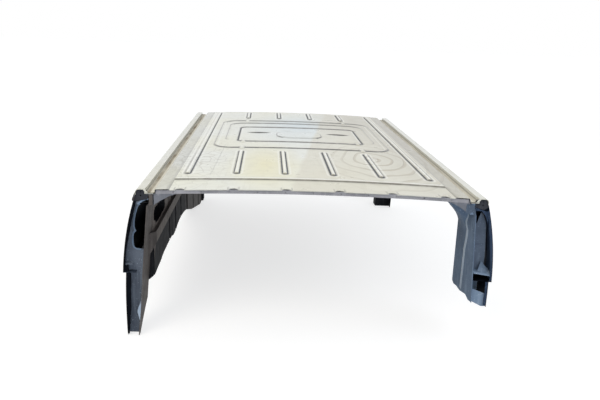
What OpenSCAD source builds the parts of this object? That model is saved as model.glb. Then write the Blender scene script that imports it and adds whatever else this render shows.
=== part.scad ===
// Sheet steel high roof cut from a panel van: crowned roof skin with pressed ribs and a
// hatch field, side rails with drain ditches, roof bows, the cab end portal with its two
// posts, the side wall on the left and the side door opening on the right.
// X runs across the van, Y from the cab end to the rear end, Z up. The origin is on the
// floor under the middle of the part. A drop is a depth below the middle of the roof and
// a run is a distance from the cab end.

/* [Overall] */
// Length of the roof from the cab end to the rear end
roof_len = 2550; // [2450:10:3000]
// Width over the two roof side rails
roof_w = 1780; // [1760:5:1800]
// Height of the middle of the roof over the floor
stand_h = 850; // [800:10:950]
// How much the roof falls from its middle to its side rails
crown = 24; // [16:1:30]
// Thickness of every sheet
sheet = 3; // [2:0.5:4]

/* [Roof skin] */
// Length of the lowered flange at the cab end
flange_len = 202; // [180:1:230]
// How far that flange lies below the roof
flange_drop = 5; // [3:0.5:7]
// Half width of the crowned middle of the skin
field_half = 720; // [712:1:730]
// Height of the small step outside the crowned middle
strip_drop = 2; // [1:0.5:2.5]
// Width of each notch in the cab end edge
notch_w = 46; // [30:1:60]

/* [Ribs] */
// Distance between neighbouring ribs
rib_pitch = 267; // [255:1:272]
// Width of a rib
rib_w = 40; // [30:1:46]
// Height of a rib
rib_h = 9; // [6:0.5:12]
// Run to the start of the ribs
rib_start = 289; // [270:1:310]
// Length of the short ribs at the cab end
rib_len = 590; // [500:1:600]
// Length of the short ribs at the rear end
rear_rib_len = 330; // [200:1:350]
// Distance from the rear end to the ribs there
rear_margin = 50; // [30:1:80]

/* [Hatch field] */
// Run to the middle of the outer bead ring
ring_mid = 1515; // [1500:1:1530]
// Width of the outer bead ring
ring_w = 1190; // [1160:1:1210]
// Length of the outer bead ring
ring_len = 1080; // [1050:1:1090]
// Width of a ring bead
bead_w = 16; // [10:1:20]
// Height of a ring bead
bead_h = 4; // [2:0.5:5]
// Width over the groove ring
groove_ring_w = 900; // [860:1:920]
// Length over the groove ring
groove_ring_len = 575; // [540:1:600]
// Run to the middle of the groove ring
groove_mid = 1470; // [1455:1:1485]
// Width of the groove
groove_w = 18; // [12:1:24]
// Depth of the groove
groove_depth = 5; // [3:0.5:7]
// Width of the raised pad in the middle
pad_w = 330; // [280:1:360]
// Length of the raised pad in the middle
pad_len = 240; // [200:1:260]
// Length of a lens shaped dimple
lens_len = 172; // [140:1:180]
// Width of a lens shaped dimple
lens_w = 40; // [30:1:50]
// Distance from the middle to the short bridges across the rings
bridge_x = 401; // [380:1:420]
// Length of a bridge
bridge_len = 58; // [44:1:70]

/* [Roof edge] */
// Width of the top of the side rail up to its outer face
rail_w = 52; // [48:1:56]
// Width of the drain ditch
ditch_w = 48; // [44:1:50]
// Depth of the drain ditch
ditch_depth = 16; // [12:1:20]
// Radius of the rounded shoulder of the side rail
shoulder_r = 20; // [16:1:24]

/* [Body side] */
// Width over the two body sides at their step
body_w = 1940; // [1920:5:1960]
// Drop of the step in the body side
step_drop = 478; // [460:1:490]
// How far the body side steps in
step_in = 16; // [10:1:20]
// Drop of the grinder cut along the left wall
cut_drop = 560; // [545:1:575]
// Drop of the lower edge of the skin over the side door
door_head_drop = 112; // [104:1:125]

/* [Portal] */
// Depth of the left front post along the van
post_depth_left = 187; // [165:1:200]
// Depth of the right front post along the van at its top
post_depth_right = 270; // [250:1:285]
// How much deeper the right front post is at its lower end
post_flare = 74; // [40:2:90]
// Radius of the curved sheet in the right corner of the portal
corner_r = 200; // [180:1:205]
// Height of the header under the skin
header_h = 20; // [16:1:24]
// Depth of the header along the van
header_depth = 130; // [110:1:160]
// Drop of the cut lower end of the right front post
right_foot_drop = 631; // [600:1:660]
// Width of the left leg where it stands on the floor
leg_w = 54; // [46:1:64]
// Width of the flange behind a front post
post_return = 24; // [14:1:28]
// Depth of the crease down the right front post
crease_depth = 7; // [4:0.5:9]
// Distance from the front of the right post to its recessed web
web_recess = 60; // [40:1:80]

/* [Left wall] */
// Drop of the top of the waist rail
waist_drop = 312; // [300:1:330]
// Height of the waist rail
waist_h = 62; // [50:1:70]
// Distance from the middle to the inner face of the liner
liner_x = 842; // [838:1:848]
// Width of a side post
side_post_w = 46; // [36:1:56]
// Width of a swage pressed into the liner
swage_w = 44; // [30:1:60]
// Depth of a swage pressed into the liner
swage_depth = 8; // [5:0.5:12]

/* [Rear end] */
// Width of the body side panel at the right rear post
rear_panel_w = 150; // [130:1:200]
// Depth of a rear post along the van
rear_post_w = 96; // [80:1:110]
// Height of a roof bow
bow_h = 26; // [20:1:30]
// Width of a roof bow with its brims
bow_w = 76; // [66:1:80]
// Height of the rear header
rear_header_h = 34; // [28:1:40]

/* [Hidden] */

fine = 48;
front_y = -roof_len / 2;
rear_y = roof_len / 2;
rail_x = roof_w / 2;
body_x = body_w / 2;
crown_strips = 16;
crown_strip_w = (rail_x + 40) / crown_strips;
crown_r = (pow(rail_x, 2) + pow(crown, 2)) / (2 * crown);
ditch_out_x = rail_x - rail_w;
ditch_in_x = ditch_out_x - ditch_w;
rail_top_z = stand_h - crown + strip_drop;
ditch_z = stand_h - crown - ditch_depth;
flange_z = ditch_z - 2 * sheet;
skin_top_z = rail_top_z - shoulder_r - 10;
cant_x = ditch_in_x + 10;
cant_h = 64;
cant_z = flange_z - cant_h;
shelf_z = stand_h - step_drop;
lower_x = body_x - step_in;
strip_in_x = lower_x - 12;
upper_bulge = 14;
lower_bulge = 4;
skin_low_x = body_x - 6;

// Ribs
rib_r = (pow(rib_w / 2, 2) + pow(rib_h, 2)) / (2 * rib_h);
rib_sink = rib_r - rib_h;
rib_columns = [-2.5, -1.5, -0.5, 0.5, 1.5, 2.5];
rear_rib_start = roof_len - rear_margin - rear_rib_len;
bridge_runs = [
    ring_mid - ring_len / 2 + bead_w / 2,
    groove_mid - groove_ring_len / 2 + groove_w / 2,
    ring_mid + ring_len / 2 - bead_w / 2
];

// Post inner face leans outward on its way down
post_top_x = cant_x + 29;
post_top_drop = 78;
post_low_x = lower_x - leg_w;
post_lean = (post_low_x - post_top_x) / (stand_h - post_top_drop);
lean_angle = atan(post_lean);
post_wall = sheet / cos(lean_angle);
front_gap = 2;
web_run = 35;
foot_run = 12;
foot_back_run = 146;
shelf_x = post_x_at(step_drop) + post_wall + 0.5;
crease_top_run = 100;
crease_low_run = 185;
crease_half = 5;
crease_run = crease_at(step_drop) - crease_half - 2;
bracket_x = cant_x + 21.5;
bracket_holes = [[862.5, stand_h - 38], [862.5, stand_h - 56]];
bracket_hole_d = 7;
shelf_depth = 190;

// Left wall
front_leg_run = 33;
wall_rear_run = 1350;
side_post_runs = [592, 805, 1055];
swage_runs = [690, 930, 1170, 1500, 1850, 2200];
liner_start_run = post_depth_left + 0.5;
liner_end_run = roof_len - rear_post_w - 8;
cross_z = stand_h - post_top_drop - (liner_x - post_top_x) / post_lean;
waist_end_run = roof_len - 300;
slot_drops = [[108, 252, 62], [254, 358, 68]];
slot_r = 22;
web_cut_drops = [130, 232];
gusset_edge = [[640, 34], [664, 39], [714, 53], [765, 82], [797, 104]];
gusset_face_x = 797;
gusset_lip = 46;
foot_face = [
    [post_top_x, right_foot_drop - 125], [body_x, right_foot_drop - 72],
    [body_x, right_foot_drop + 12], [post_top_x, right_foot_drop - 60]
];
brim_w = 16;
waist_depth = 18;
liner_split_z = stand_h - waist_drop - waist_h / 2;
opening_start = 205;
opening_end = 556;
opening_top_drop = 195;
opening_low_drop = 300;
rear_post_x = cant_x + 26;

// Grinder cut along the left wall as run and drop
left_cut = [
    [-20, stand_h + 20], [-20, stand_h], [front_leg_run, stand_h],
    [front_leg_run + 42, 804], [front_leg_run + 110, 742], [post_depth_left, 712],
    [post_depth_left + 0.2, cut_drop + 76], [post_depth_left + 26, cut_drop + 42],
    [post_depth_left + 53, cut_drop + 12], [320, cut_drop - 10], [322, cut_drop + 4], [765, cut_drop - 4], [767, cut_drop + 12],
    [1020, cut_drop + 4], [wall_rear_run, cut_drop + 16], [wall_rear_run + 92, cut_drop + 44],
    [1749, 704], [2083, 786], [2340, stand_h], [roof_len + 20, stand_h],
    [roof_len + 20, stand_h + 20]
];

// Grinder cut at the right front post as run and drop
right_cut = [
    [-20, stand_h + 40], [-20, right_foot_drop - 29], [14, right_foot_drop - 29],
    [50, right_foot_drop - 22], [94, right_foot_drop - 33], [128, right_foot_drop - 25],
    [165, right_foot_drop - 16], [217, right_foot_drop], [265, right_foot_drop - 1],
    [318, right_foot_drop + 9], [345, right_foot_drop - 5], [400, right_foot_drop - 14],
    [400, stand_h + 40]
];
skin_below = 24;

function crown_at(x) = pow(x, 2) / (2 * crown_r);
function post_x_at(drop) = post_top_x + post_lean * (drop - post_top_drop);
function run_y(run) = front_y + run;
function gusset_face() = [for (p = gusset_edge) [p[0], stand_h - p[1]]];
function gusset_plate() = concat(
    gusset_face(), [[gusset_face_x, stand_h], [gusset_edge[0][0], stand_h]]
);
function crease_at(drop) =
    crease_top_run + (crease_low_run - crease_top_run) * drop / right_foot_drop;
function rear_at(drop) =
    post_depth_right + post_flare * (drop - 100) / (right_foot_drop - 100);
function arc_r(chord, bulge) = (pow(chord, 2) / 4 + pow(bulge, 2)) / (2 * bulge);

module mirrored(side) {
    mirror([side < 0 ? 1 : 0, 0, 0])
        children();
}

// Extrudes a profile drawn in X and Z along the van
module along(run_from, run_to) {
    translate([0, run_y(run_to), 0])
        rotate([90, 0, 0])
            linear_extrude(run_to - run_from)
                children();
}

// Extrudes an outline drawn in run and drop across the van
module across(x_from, x_to) {
    translate([x_from, front_y, stand_h])
        rotate([90, 0, 90])
            mirror([0, 1, 0])
                linear_extrude(x_to - x_from)
                    children();
}

// Solid under the crowned surface that lies at the given drop, the crown in narrow strips
module crown_slab(drop, half_w, run_from, run_to, depth) {
    reach = crown_strips * crown_strip_w;
    intersection() {
        along(run_from, run_to)
            polygon(concat(
                [[-reach, stand_h - depth]],
                [
                    for (i = [-crown_strips : crown_strips])
                        [i * crown_strip_w, stand_h - drop - crown_at(i * crown_strip_w)]
                ],
                [[reach, stand_h - depth]]
            ));
        translate([-half_w, run_y(run_from), stand_h - depth])
            cube([2 * half_w, run_to - run_from, depth + 30]);
    }
}

module rounded_rect(w, l, r) {
    square([w - 2 * r, l], center = true);
    square([w, l - 2 * r], center = true);
    for (sx = [-1, 1], sy = [-1, 1])
        translate([sx * (w / 2 - r), sy * (l / 2 - r)])
            circle(r, $fn = fine);
}

module ring_outline(w, l, r, band) {
    difference() {
        rounded_rect(w, l, r);
        rounded_rect(w - 2 * band, l - 2 * band, r - band);
    }
}

module lens_outline(l, w) {
    lens_r = arc_r(l, w / 2);
    intersection() {
        translate([0, lens_r - w / 2])
            circle(lens_r, $fn = 180);
        translate([0, w / 2 - lens_r])
            circle(lens_r, $fn = 180);
    }
}

// Column with the plan outline of the children, high enough for the whole skin
module column(mid_run) {
    translate([0, run_y(mid_run), stand_h - 90])
        linear_extrude(120)
            children();
}

// Rounded rib body, a straight run between two half balls
module rib_body(x, run_from, run_to, r) {
    z = stand_h - crown_at(x) - rib_sink;
    half = rib_w / 2;
    translate([x, run_y(run_from + half), z])
        rotate([-90, 0, 0])
            cylinder(r = r, h = run_to - run_from - rib_w, $fn = fine);
    for (run = [run_from + half, run_to - half])
        translate([x, run_y(run), z])
            sphere(r, $fn = fine);
}

module ribs(r) {
    for (column_no = rib_columns) {
        x = column_no * rib_pitch;
        outer = abs(column_no) > 2;
        rib_body(x, rib_start, outer ? roof_len - rear_margin : rib_start + rib_len, r);
        if (!outer)
            rib_body(x, rear_rib_start, roof_len - rear_margin, r);
    }
}

// Short rounded humps that carry the bow lines across the rings
module bridges(inset) {
    bridge_r = rib_r - 3;
    for (side = [-1, 1], run = bridge_runs)
        translate([side * bridge_x, run_y(run), stand_h - crown_at(bridge_x) + rib_h / 2 - bridge_r]) {
            translate([0, -bridge_len / 2, 0])
                rotate([-90, 0, 0])
                    cylinder(r = bridge_r - inset, h = bridge_len, $fn = fine);
            for (end = [-1, 1])
                translate([0, end * bridge_len / 2, 0])
                    sphere(bridge_r - inset, $fn = fine);
        }
}

// Everything below one face of the pressed middle, inset by 0 or one sheet
module field_body(inset) {
    intersection() {
        bridges(inset);
        crown_slab(-30, field_half, flange_len, roof_len, 60);
    }
    difference() {
        union() {
            crown_slab(inset, field_half, flange_len, roof_len, 60);
            intersection() {
                ribs(rib_r - inset);
                crown_slab(-30, field_half, flange_len, roof_len, 60);
            }
            intersection() {
                crown_slab(inset - bead_h, field_half, flange_len, roof_len, 60);
                union() {
                    column(ring_mid)
                        ring_outline(ring_w - 2 * inset, ring_len - 2 * inset,
                            120 - inset, bead_w - 2 * inset);
                    column(groove_mid + 90)
                        ring_outline(1060 - 2 * inset, 750 - 2 * inset,
                            110 - inset, bead_w - 4 - 2 * inset);
                    column(groove_mid - 20)
                        rounded_rect(pad_w - 2 * inset, pad_len - 2 * inset, 90 - inset);
                }
            }
        }
        difference() {
            union() {
                column(groove_mid)
                    ring_outline(groove_ring_w + 2 * inset, groove_ring_len + 2 * inset,
                        60 + inset, groove_w + 2 * inset);
                for (sx = [-1, 1])
                    translate([sx * 297, 0, 0])
                        column(groove_mid + 50)
                            lens_outline(lens_len + 2 * inset, lens_w + 2 * inset);
            }
            crown_slab(inset + groove_depth, field_half, flange_len, roof_len, 95);
        }
    }
}

module flange_notches() {
    for (column_no = rib_columns)
        translate([column_no * rib_pitch, front_y, stand_h - 60])
            cylinder(d = notch_w, h = 90, $fn = fine);
}

module roof_skin() {
    color("#e6e6da") {
        difference() {
            union() {
                difference() {
                    field_body(0);
                    field_body(sheet);
                }
                difference() {
                    crown_slab(flange_drop, field_half, 0, flange_len + sheet, 60);
                    crown_slab(flange_drop + sheet, field_half, -1, flange_len + sheet + 1, 60);
                }
                translate([-field_half, run_y(flange_len), stand_h - 40])
                    intersection() {
                        cube([2 * field_half, sheet, 60]);
                        translate([field_half, -run_y(flange_len), 40 - stand_h])
                            difference() {
                                crown_slab(0, field_half, 0, roof_len, 60);
                                crown_slab(flange_drop + sheet, field_half, -1, roof_len + 1, 60);
                            }
                    }
                for (side = [-1, 1])
                    mirrored(side)
                        skin_edge();
            }
            flange_notches();
        }
    }
}

// Strip beside the middle, ditch wall and ditch floor of the roof skin
module skin_edge() {
    intersection() {
        difference() {
            crown_slab(strip_drop, ditch_in_x, 0, roof_len, 60);
            crown_slab(strip_drop + sheet, ditch_in_x + 1, -1, roof_len + 1, 61);
        }
        translate([field_half - sheet, front_y, stand_h - 80])
            cube([ditch_in_x - field_half + sheet, roof_len, 100]);
    }
    difference() {
        crown_slab(strip_drop, ditch_in_x, 0, roof_len, stand_h - ditch_z + sheet);
        translate([-ditch_in_x - 1, front_y - 1, 0])
            cube([2 * ditch_in_x + 1 - sheet, roof_len + 2, stand_h + 10]);
    }
    translate([ditch_in_x - sheet, front_y, ditch_z - sheet])
        cube([ditch_w, roof_len, sheet]);
}

// Profile of the side rail in X and Z
module rail_profile() {
    translate([cant_x, flange_z])
        square([ditch_out_x - cant_x + sheet, sheet]);
    translate([ditch_out_x, flange_z])
        square([sheet, rail_top_z - flange_z]);
    translate([ditch_out_x, rail_top_z - sheet])
        square([rail_w - shoulder_r, sheet]);
    intersection() {
        translate([rail_x - shoulder_r, rail_top_z - shoulder_r])
            difference() {
                circle(shoulder_r, $fn = fine);
                circle(shoulder_r - sheet, $fn = fine);
            }
        translate([rail_x - shoulder_r, rail_top_z - shoulder_r])
            square(shoulder_r);
    }
    translate([rail_x - sheet, skin_top_z])
        square([sheet, rail_top_z - shoulder_r - skin_top_z]);
}

module side_rail(side) {
    color("#deded3")
        mirrored(side)
            along(sheet, roof_len)
                rail_profile();
}

module side_rail_left() {
    side_rail(-1);
}

module side_rail_right() {
    side_rail(1);
}

module ditch_sealer(side) {
    color("#b9ad94")
        mirrored(side)
            translate([ditch_in_x, run_y(sheet), ditch_z])
                cube([ditch_w, roof_len - sheet, 2]);
}

module ditch_sealer_left() {
    ditch_sealer(-1);
}

module ditch_sealer_right() {
    ditch_sealer(1);
}

// Solid under the skin, lower by one step outside the crowned middle
module under_skin(drop, step, half_w, run_from, run_to, depth) {
    crown_slab(drop, min(half_w, field_half - sheet), run_from, run_to, depth);
    crown_slab(drop + step, half_w, run_from, run_to, depth);
}

// Hat section across the roof, its brim against the skin
module hat_bow(drop, step, run_from, run_to, height, brim) {
    half_w = ditch_in_x - sheet;
    difference() {
        under_skin(drop, step, half_w, run_from, run_to, 90);
        under_skin(drop + height, step, half_w + 1, run_from - 1, run_to + 1, 91);
        difference() {
            crown_slab(drop - 10, half_w + 1, run_from + brim + sheet, run_to - brim - sheet, 91);
            under_skin(drop + height - sheet, step, half_w + 2, run_from, run_to, 92);
        }
        if (brim > 0)
            for (run = [run_from - 1, run_to - brim])
                under_skin(drop + sheet, step, half_w + 3, run, run + brim + 1, 95);
    }
}

module roof_bow(mid_run) {
    color("#5a5e63")
        hat_bow(sheet, strip_drop, mid_run - bow_w / 2, mid_run + bow_w / 2, bow_h, brim_w);
}

module roof_bow_front() {
    roof_bow(rib_start + rib_len + bow_w / 2 + 8);
}

module roof_bow_rear() {
    roof_bow(rear_rib_start - bow_w / 2 - 8);
}

module rear_header() {
    color("#5a5e63")
        hat_bow(sheet, strip_drop, roof_len - bow_w - 4, roof_len - 4, rear_header_h, brim_w);
}

module front_header() {
    color("#6b6c70")
        difference() {
            hat_bow(flange_drop + sheet, 0, 6, 6 + header_depth, header_h, 0);
            for (i = [-5 : 5])
                translate([i * 140, run_y(0), stand_h - crown_at(i * 140) - flange_drop - 14])
                    rotate([-90, 0, 0])
                        cylinder(d = 6, h = 12, $fn = 24);
        }
}

// Space between a leaning post and the body side, drawn in X and Z
module upper_arc(grow) {
    top = [rail_x, skin_top_z];
    low = [skin_low_x + 6, shelf_z];
    chord = norm(top - low);
    r = arc_r(chord, upper_bulge);
    out = [top[1] - low[1], low[0] - top[0]] / chord;
    mid = (top + low) / 2 + out * (upper_bulge - r);
    translate(mid)
        circle(r + grow, $fn = 720);
}

module lower_arc(grow) {
    top = [lower_x, shelf_z];
    low = [lower_x + 8, 0];
    chord = norm(top - low);
    r = arc_r(chord, lower_bulge);
    out = [top[1] - low[1], low[0] - top[0]] / chord;
    mid = (top + low) / 2 + out * (lower_bulge - r);
    translate(mid)
        circle(r + grow, $fn = 1440);
}

module band(x_from, z_from, z_to) {
    translate([x_from, z_from])
        square([body_x + 60 - x_from, z_to - z_from]);
}

// Inside of the body side between two heights
module side_inside(x_from, z_from, z_to) {
    if (z_to > shelf_z + sheet)
        intersection() {
            upper_arc(-sheet);
            band(x_from, max(z_from, shelf_z + sheet), min(z_to, skin_top_z));
        }
    if (z_from < shelf_z)
        intersection() {
            lower_arc(-sheet);
            band(x_from, z_from, min(z_to, shelf_z));
        }
    if (z_from < shelf_z && z_to > shelf_z + sheet)
        translate([x_from, shelf_z - 1])
            square([strip_in_x - 0.5 - x_from, sheet + 2]);
}

module upper_skin_profile(z_low) {
    intersection() {
        difference() {
            upper_arc(0);
            upper_arc(-sheet);
        }
        band(rail_x - 30, z_low, skin_top_z);
    }
}

module lower_skin_profile() {
    intersection() {
        difference() {
            lower_arc(0);
            lower_arc(-sheet);
        }
        band(rail_x, 0, shelf_z);
    }
}

module left_cut_body() {
    across(rail_x - 200, body_x + 30)
        polygon(left_cut);
}

module right_cut_body(below) {
    across(rail_x - 200, body_x + 30)
        translate([0, below])
            polygon(right_cut);
}

// Saddle over the end of the side rail with a flange down the wall of the ditch
module rail_end_cap(side) {
    color("#e2e2d8")
        mirrored(side) {
            translate([ditch_out_x, front_y, rail_top_z])
                cube([rail_w - shoulder_r, 44, sheet]);
            along(0, sheet - 0.2)
                polygon([
                    [ditch_out_x - 14, ditch_z + 0.3], [ditch_out_x - 3, ditch_z + 0.3],
                    [ditch_out_x + 12, rail_top_z], [ditch_out_x + 12, rail_top_z + 1],
                    [ditch_out_x, rail_top_z + 1]
                ]);
        }
}

module rail_end_cap_left() {
    rail_end_cap(-1);
}

module rail_end_cap_right() {
    rail_end_cap(1);
}

// Closes the open end of the side rail and of the cant rail under it
module corner_bracket(side) {
    color("#25272a")
        mirrored(side)
            difference() {
                union() {
                    along(7, 10)
                        side_inside(bracket_x, cant_z + sheet, flange_z - sheet);
                    along(7, 10)
                        translate([ditch_out_x + sheet, flange_z - sheet])
                            square([rail_w - 2 * sheet, rail_top_z - shoulder_r - flange_z + sheet]);
                    along(7, 10)
                        translate([ditch_out_x + sheet, flange_z + 1])
                            square([rail_w - shoulder_r - sheet, rail_top_z - flange_z - sheet - 1]);
                }
                for (hole = bracket_holes)
                    translate([hole[0], front_y, hole[1]])
                        rotate([-90, 0, 0])
                            cylinder(d = bracket_hole_d, h = 20, $fn = 32);
            }
}

module corner_bracket_left() {
    corner_bracket(-1);
}

module corner_bracket_right() {
    corner_bracket(1);
}

module cant_profile() {
    translate([cant_x, flange_z - sheet])
        square([ditch_out_x - cant_x + sheet, sheet]);
    translate([cant_x, cant_z])
        square([sheet, cant_h]);
    side_inside(cant_x, cant_z, cant_z + sheet);
}

module cant_rail(side) {
    color("#4c5056")
        mirrored(side)
            along(4, roof_len - 4)
                cant_profile();
}

module cant_rail_left() {
    cant_rail(-1);
}

module cant_rail_right() {
    cant_rail(1);
}

// Plan of a front post: face, crease and the flange behind it
module post_plan(depth, crease) {
    middle = depth / 2;
    polygon([
        [0, front_gap], [0, middle - 7], [crease, middle + 7], [crease, depth],
        [crease + post_return, depth], [crease + post_return, depth - sheet],
        [crease + sheet, depth - sheet], [crease + sheet, middle + 7],
        [sheet, middle - 7], [sheet, front_gap]
    ]);
}

// Post that leans outward on its way down, ended under the cant rail
module leaning_post(depth, crease) {
    intersection() {
        translate([post_x_at(0), front_y, stand_h])
            rotate([0, -lean_angle, 0])
                translate([0, 0, -stand_h - 60])
                    linear_extrude(stand_h + 60)
                        post_plan(depth, crease);
        translate([0, front_y, 0])
            cube([body_x + 100, depth, cant_z]);
    }
}

module front_post_left() {
    color("#4a4644")
        mirrored(-1)
            difference() {
                union() {
                    leaning_post(post_depth_left, 0);
                    post_head();
                }
                left_cut_body();
            }
}

// Plate of a leaning post between two distances from its inner face, outlined by run and drop
module leaning_plate(near, far, outline) {
    intersection() {
        translate([post_x_at(0), front_y, stand_h])
            rotate([0, -lean_angle, 0])
                translate([near, 0, -stand_h - 60])
                    cube([far - near, 400, stand_h + 60]);
        across(rail_x - 150, body_x + 80)
            polygon(outline);
    }
}

module front_post_right() {
    top = stand_h - cant_z;
    low = stand_h;
    color("#5a6470") {
        difference() {
            union() {
                leaning_plate(0, sheet, [
                    [front_gap, top], [crease_at(top), top], [crease_at(low), low], [front_gap, low]
                ]);
                leaning_plate(0, crease_depth + sheet, [
                    [crease_at(top) - crease_half, top], [crease_at(top) + crease_half, top],
                    [crease_at(low) + crease_half, low], [crease_at(low) - crease_half, low]
                ]);
                leaning_plate(crease_depth, crease_depth + sheet, [
                    [crease_at(top), top], [rear_at(top), top], [rear_at(low), low], [crease_at(low), low]
                ]);
                leaning_plate(crease_depth, crease_depth + post_return, [
                    [rear_at(top) - sheet, top], [rear_at(top), top],
                    [rear_at(low), low], [rear_at(low) - sheet, low]
                ]);
            }
            right_cut_body(0);
        }
        post_head();
    }
}

// Tongue at the top of a front post, beside the end of the cant rail
module post_head() {
    along(4, 4 + sheet)
        translate([cant_x + sheet + 0.2, cant_z + sheet + 0.2])
            square([bracket_x - cant_x - sheet - 0.4, cant_h - 2 * sheet - 0.4]);
}

// Everything inboard of the outer face of a leaning post, drawn in X and Z
module inboard_of_post() {
    polygon([
        [0, stand_h],
        [post_x_at(0) + post_wall, stand_h],
        [post_x_at(stand_h + 10) + post_wall, -10],
        [0, -10]
    ]);
}

// Opening in the left web, open to the post and rounded on its far side
module web_slot(drop_from, drop_to, width) {
    x = post_x_at(drop_from) + post_wall + width;
    translate([post_top_x, stand_h - drop_to])
        square([x - slot_r - post_top_x, drop_to - drop_from]);
    translate([x - slot_r, stand_h - (drop_from + drop_to) / 2])
        rounded_rect(2 * slot_r, drop_to - drop_from, slot_r - 1);
}

module post_web_left() {
    color("#50606f")
        mirrored(-1)
            difference() {
                along(web_run, web_run + sheet)
                    difference() {
                        side_inside(post_top_x, 0, cant_z);
                        inboard_of_post();
                        for (slot = slot_drops)
                            web_slot(slot[0], slot[1], slot[2]);
                    }
                left_cut_body();
            }
}

module post_web_right() {
    top_x = post_x_at(web_cut_drops[0]) + post_wall;
    color("#5a6673")
        difference() {
            along(web_recess, web_recess + sheet)
                difference() {
                    side_inside(post_top_x, shelf_z + sheet, cant_z);
                    inboard_of_post();
                    polygon([
                        [top_x + 6, stand_h - web_cut_drops[0]],
                        [top_x + 52, stand_h - web_cut_drops[0]],
                        [top_x + 14, stand_h - web_cut_drops[1]]
                    ]);
                }
            right_cut_body(0);
        }
}

module post_foot_right() {
    color("#5a6673")
        difference() {
            union() {
                along(foot_run, foot_run + sheet)
                    difference() {
                        intersection() {
                            side_inside(post_top_x, stand_h - right_foot_drop - skin_below, shelf_z);
                            polygon([for (p = foot_face) [p[0], stand_h - p[1]]]);
                        }
                        inboard_of_post();
                    }
                along(foot_back_run, foot_back_run + sheet)
                    difference() {
                        side_inside(post_top_x, stand_h - right_foot_drop + 30, shelf_z);
                        inboard_of_post();
                    }
            }
            right_cut_body(skin_below);
        }
}

module header_gusset_right() {
    mid_x = post_x_at(stand_h - cant_z) - corner_r - 4;
    mid_z = stand_h - crown_at(mid_x) - flange_drop - 2 * sheet - header_h - corner_r;
    color("#5d6670")
        intersection() {
            union() {
                along(8, 8 + sheet)
                    polygon(gusset_plate());
                along(8 + sheet, post_depth_right - 12)
                    difference() {
                        gusset_region(mid_x, mid_z, corner_r);
                        gusset_region(mid_x, mid_z, corner_r + sheet);
                    }
            }
            crown_slab(flange_drop + sheet + header_h, rail_x, 0, post_depth_right, stand_h / 2);
        }
}

// Straight gusset with a lip along its lower edge
module header_gusset_left() {
    face = gusset_face();
    last = len(face) - 1;
    color("#5d6670")
        mirrored(-1)
            intersection() {
                union() {
                    along(8, 8 + sheet)
                        polygon(gusset_plate());
                    along(8, 8 + gusset_lip)
                        polygon(concat(face, [for (i = [0 : last]) face[last - i] + [0, sheet + 1]]));
                }
                crown_slab(flange_drop + sheet + header_h, rail_x, 0, post_depth_left, stand_h / 2);
            }
}

// Corner between header and post outside a circle, drawn in X and Z
module gusset_region(mid_x, mid_z, r) {
    difference() {
        polygon([
            [mid_x, mid_z],
            [post_x_at(stand_h - mid_z), mid_z],
            [post_x_at(stand_h - cant_z), cant_z],
            [cant_x, cant_z],
            [cant_x, stand_h],
            [mid_x, stand_h]
        ]);
        translate([mid_x, mid_z])
            circle(r, $fn = 96);
    }
}

module step_shelf_left() {
    color("#3d4248")
        mirrored(-1) {
            translate([shelf_x, run_y(web_run + sheet), shelf_z])
                cube([body_x - shelf_x, post_depth_left - web_run - 3 * sheet, sheet]);
            translate([strip_in_x - 40, run_y(4), shelf_z])
                cube([body_x - strip_in_x + 40, web_run - 4.5, sheet]);
            step_strip(0, roof_len);
        }
}

// Narrow horizontal sheet that joins the body side above and below its step
module step_strip(run_from, run_to) {
    translate([strip_in_x, run_y(run_from), shelf_z])
        cube([body_x - strip_in_x, run_to - run_from, sheet]);
}

module step_shelf_right() {
    color("#6b7682")
        difference() {
            union() {
                translate([shelf_x, run_y(foot_run), shelf_z])
                    cube([body_x - shelf_x, crease_run - foot_run, sheet]);
                translate([shelf_x + crease_depth + 0.5, run_y(crease_run), shelf_z])
                    cube([body_x - shelf_x - crease_depth - 0.5, shelf_depth + foot_run - crease_run, sheet]);
                step_strip(0, foot_run + shelf_depth);
            }
            right_cut_body(0);
        }
}

module upper_skin_left() {
    color("#303438")
        mirrored(-1)
            along(0, roof_len)
                upper_skin_profile(shelf_z + sheet);
}

module lower_skin_left() {
    color("#2c2f33")
        mirrored(-1)
            difference() {
                along(0, roof_len)
                    lower_skin_profile();
                left_cut_body();
            }
}

module post_skin_right() {
    color("#303438")
        difference() {
            union() {
                along(0, post_depth_right)
                    upper_skin_profile(shelf_z + sheet);
                along(0, post_depth_right)
                    lower_skin_profile();
            }
            right_cut_body(skin_below);
        }
}

module door_head_skin_right() {
    color("#303438")
        along(post_depth_right, roof_len - rear_panel_w)
            upper_skin_profile(stand_h - door_head_drop);
}

module rear_skin_right() {
    color("#303438") {
        along(roof_len - rear_panel_w, roof_len)
            upper_skin_profile(shelf_z + sheet);
        along(roof_len - rear_panel_w, roof_len)
            lower_skin_profile();
        step_strip(roof_len - rear_panel_w, roof_len);
    }
}

module waist_rail_left() {
    z = stand_h - waist_drop - waist_h;
    color("#4d4844")
        mirrored(-1) {
            along(liner_start_run, waist_end_run)
                difference() {
                    translate([liner_x - waist_depth, z])
                        square([waist_depth, waist_h]);
                    translate([liner_x - waist_depth + sheet, z + sheet])
                        square([waist_depth, waist_h - 2 * sheet]);
                }
            along(liner_start_run, liner_start_run + sheet)
                translate([liner_x - waist_depth, z])
                    square([waist_depth, waist_h]);
        }
}

// Plan of the liner with its swages, run along the second axis
module liner_plan() {
    face = concat(
        [[0, liner_start_run]],
        [
            for (run = swage_runs, k = [0 : 3])
                [(k == 1 || k == 2) ? swage_depth : 0, run + (k < 2 ? -1 : 1) * (swage_w / 2 - (k == 0 || k == 3 ? 0 : 8))]
        ],
        [[0, liner_end_run]]
    );
    last = len(face) - 1;
    polygon(concat(face, [for (i = [0 : last]) face[last - i] + [sheet, 0]]));
}

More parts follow.
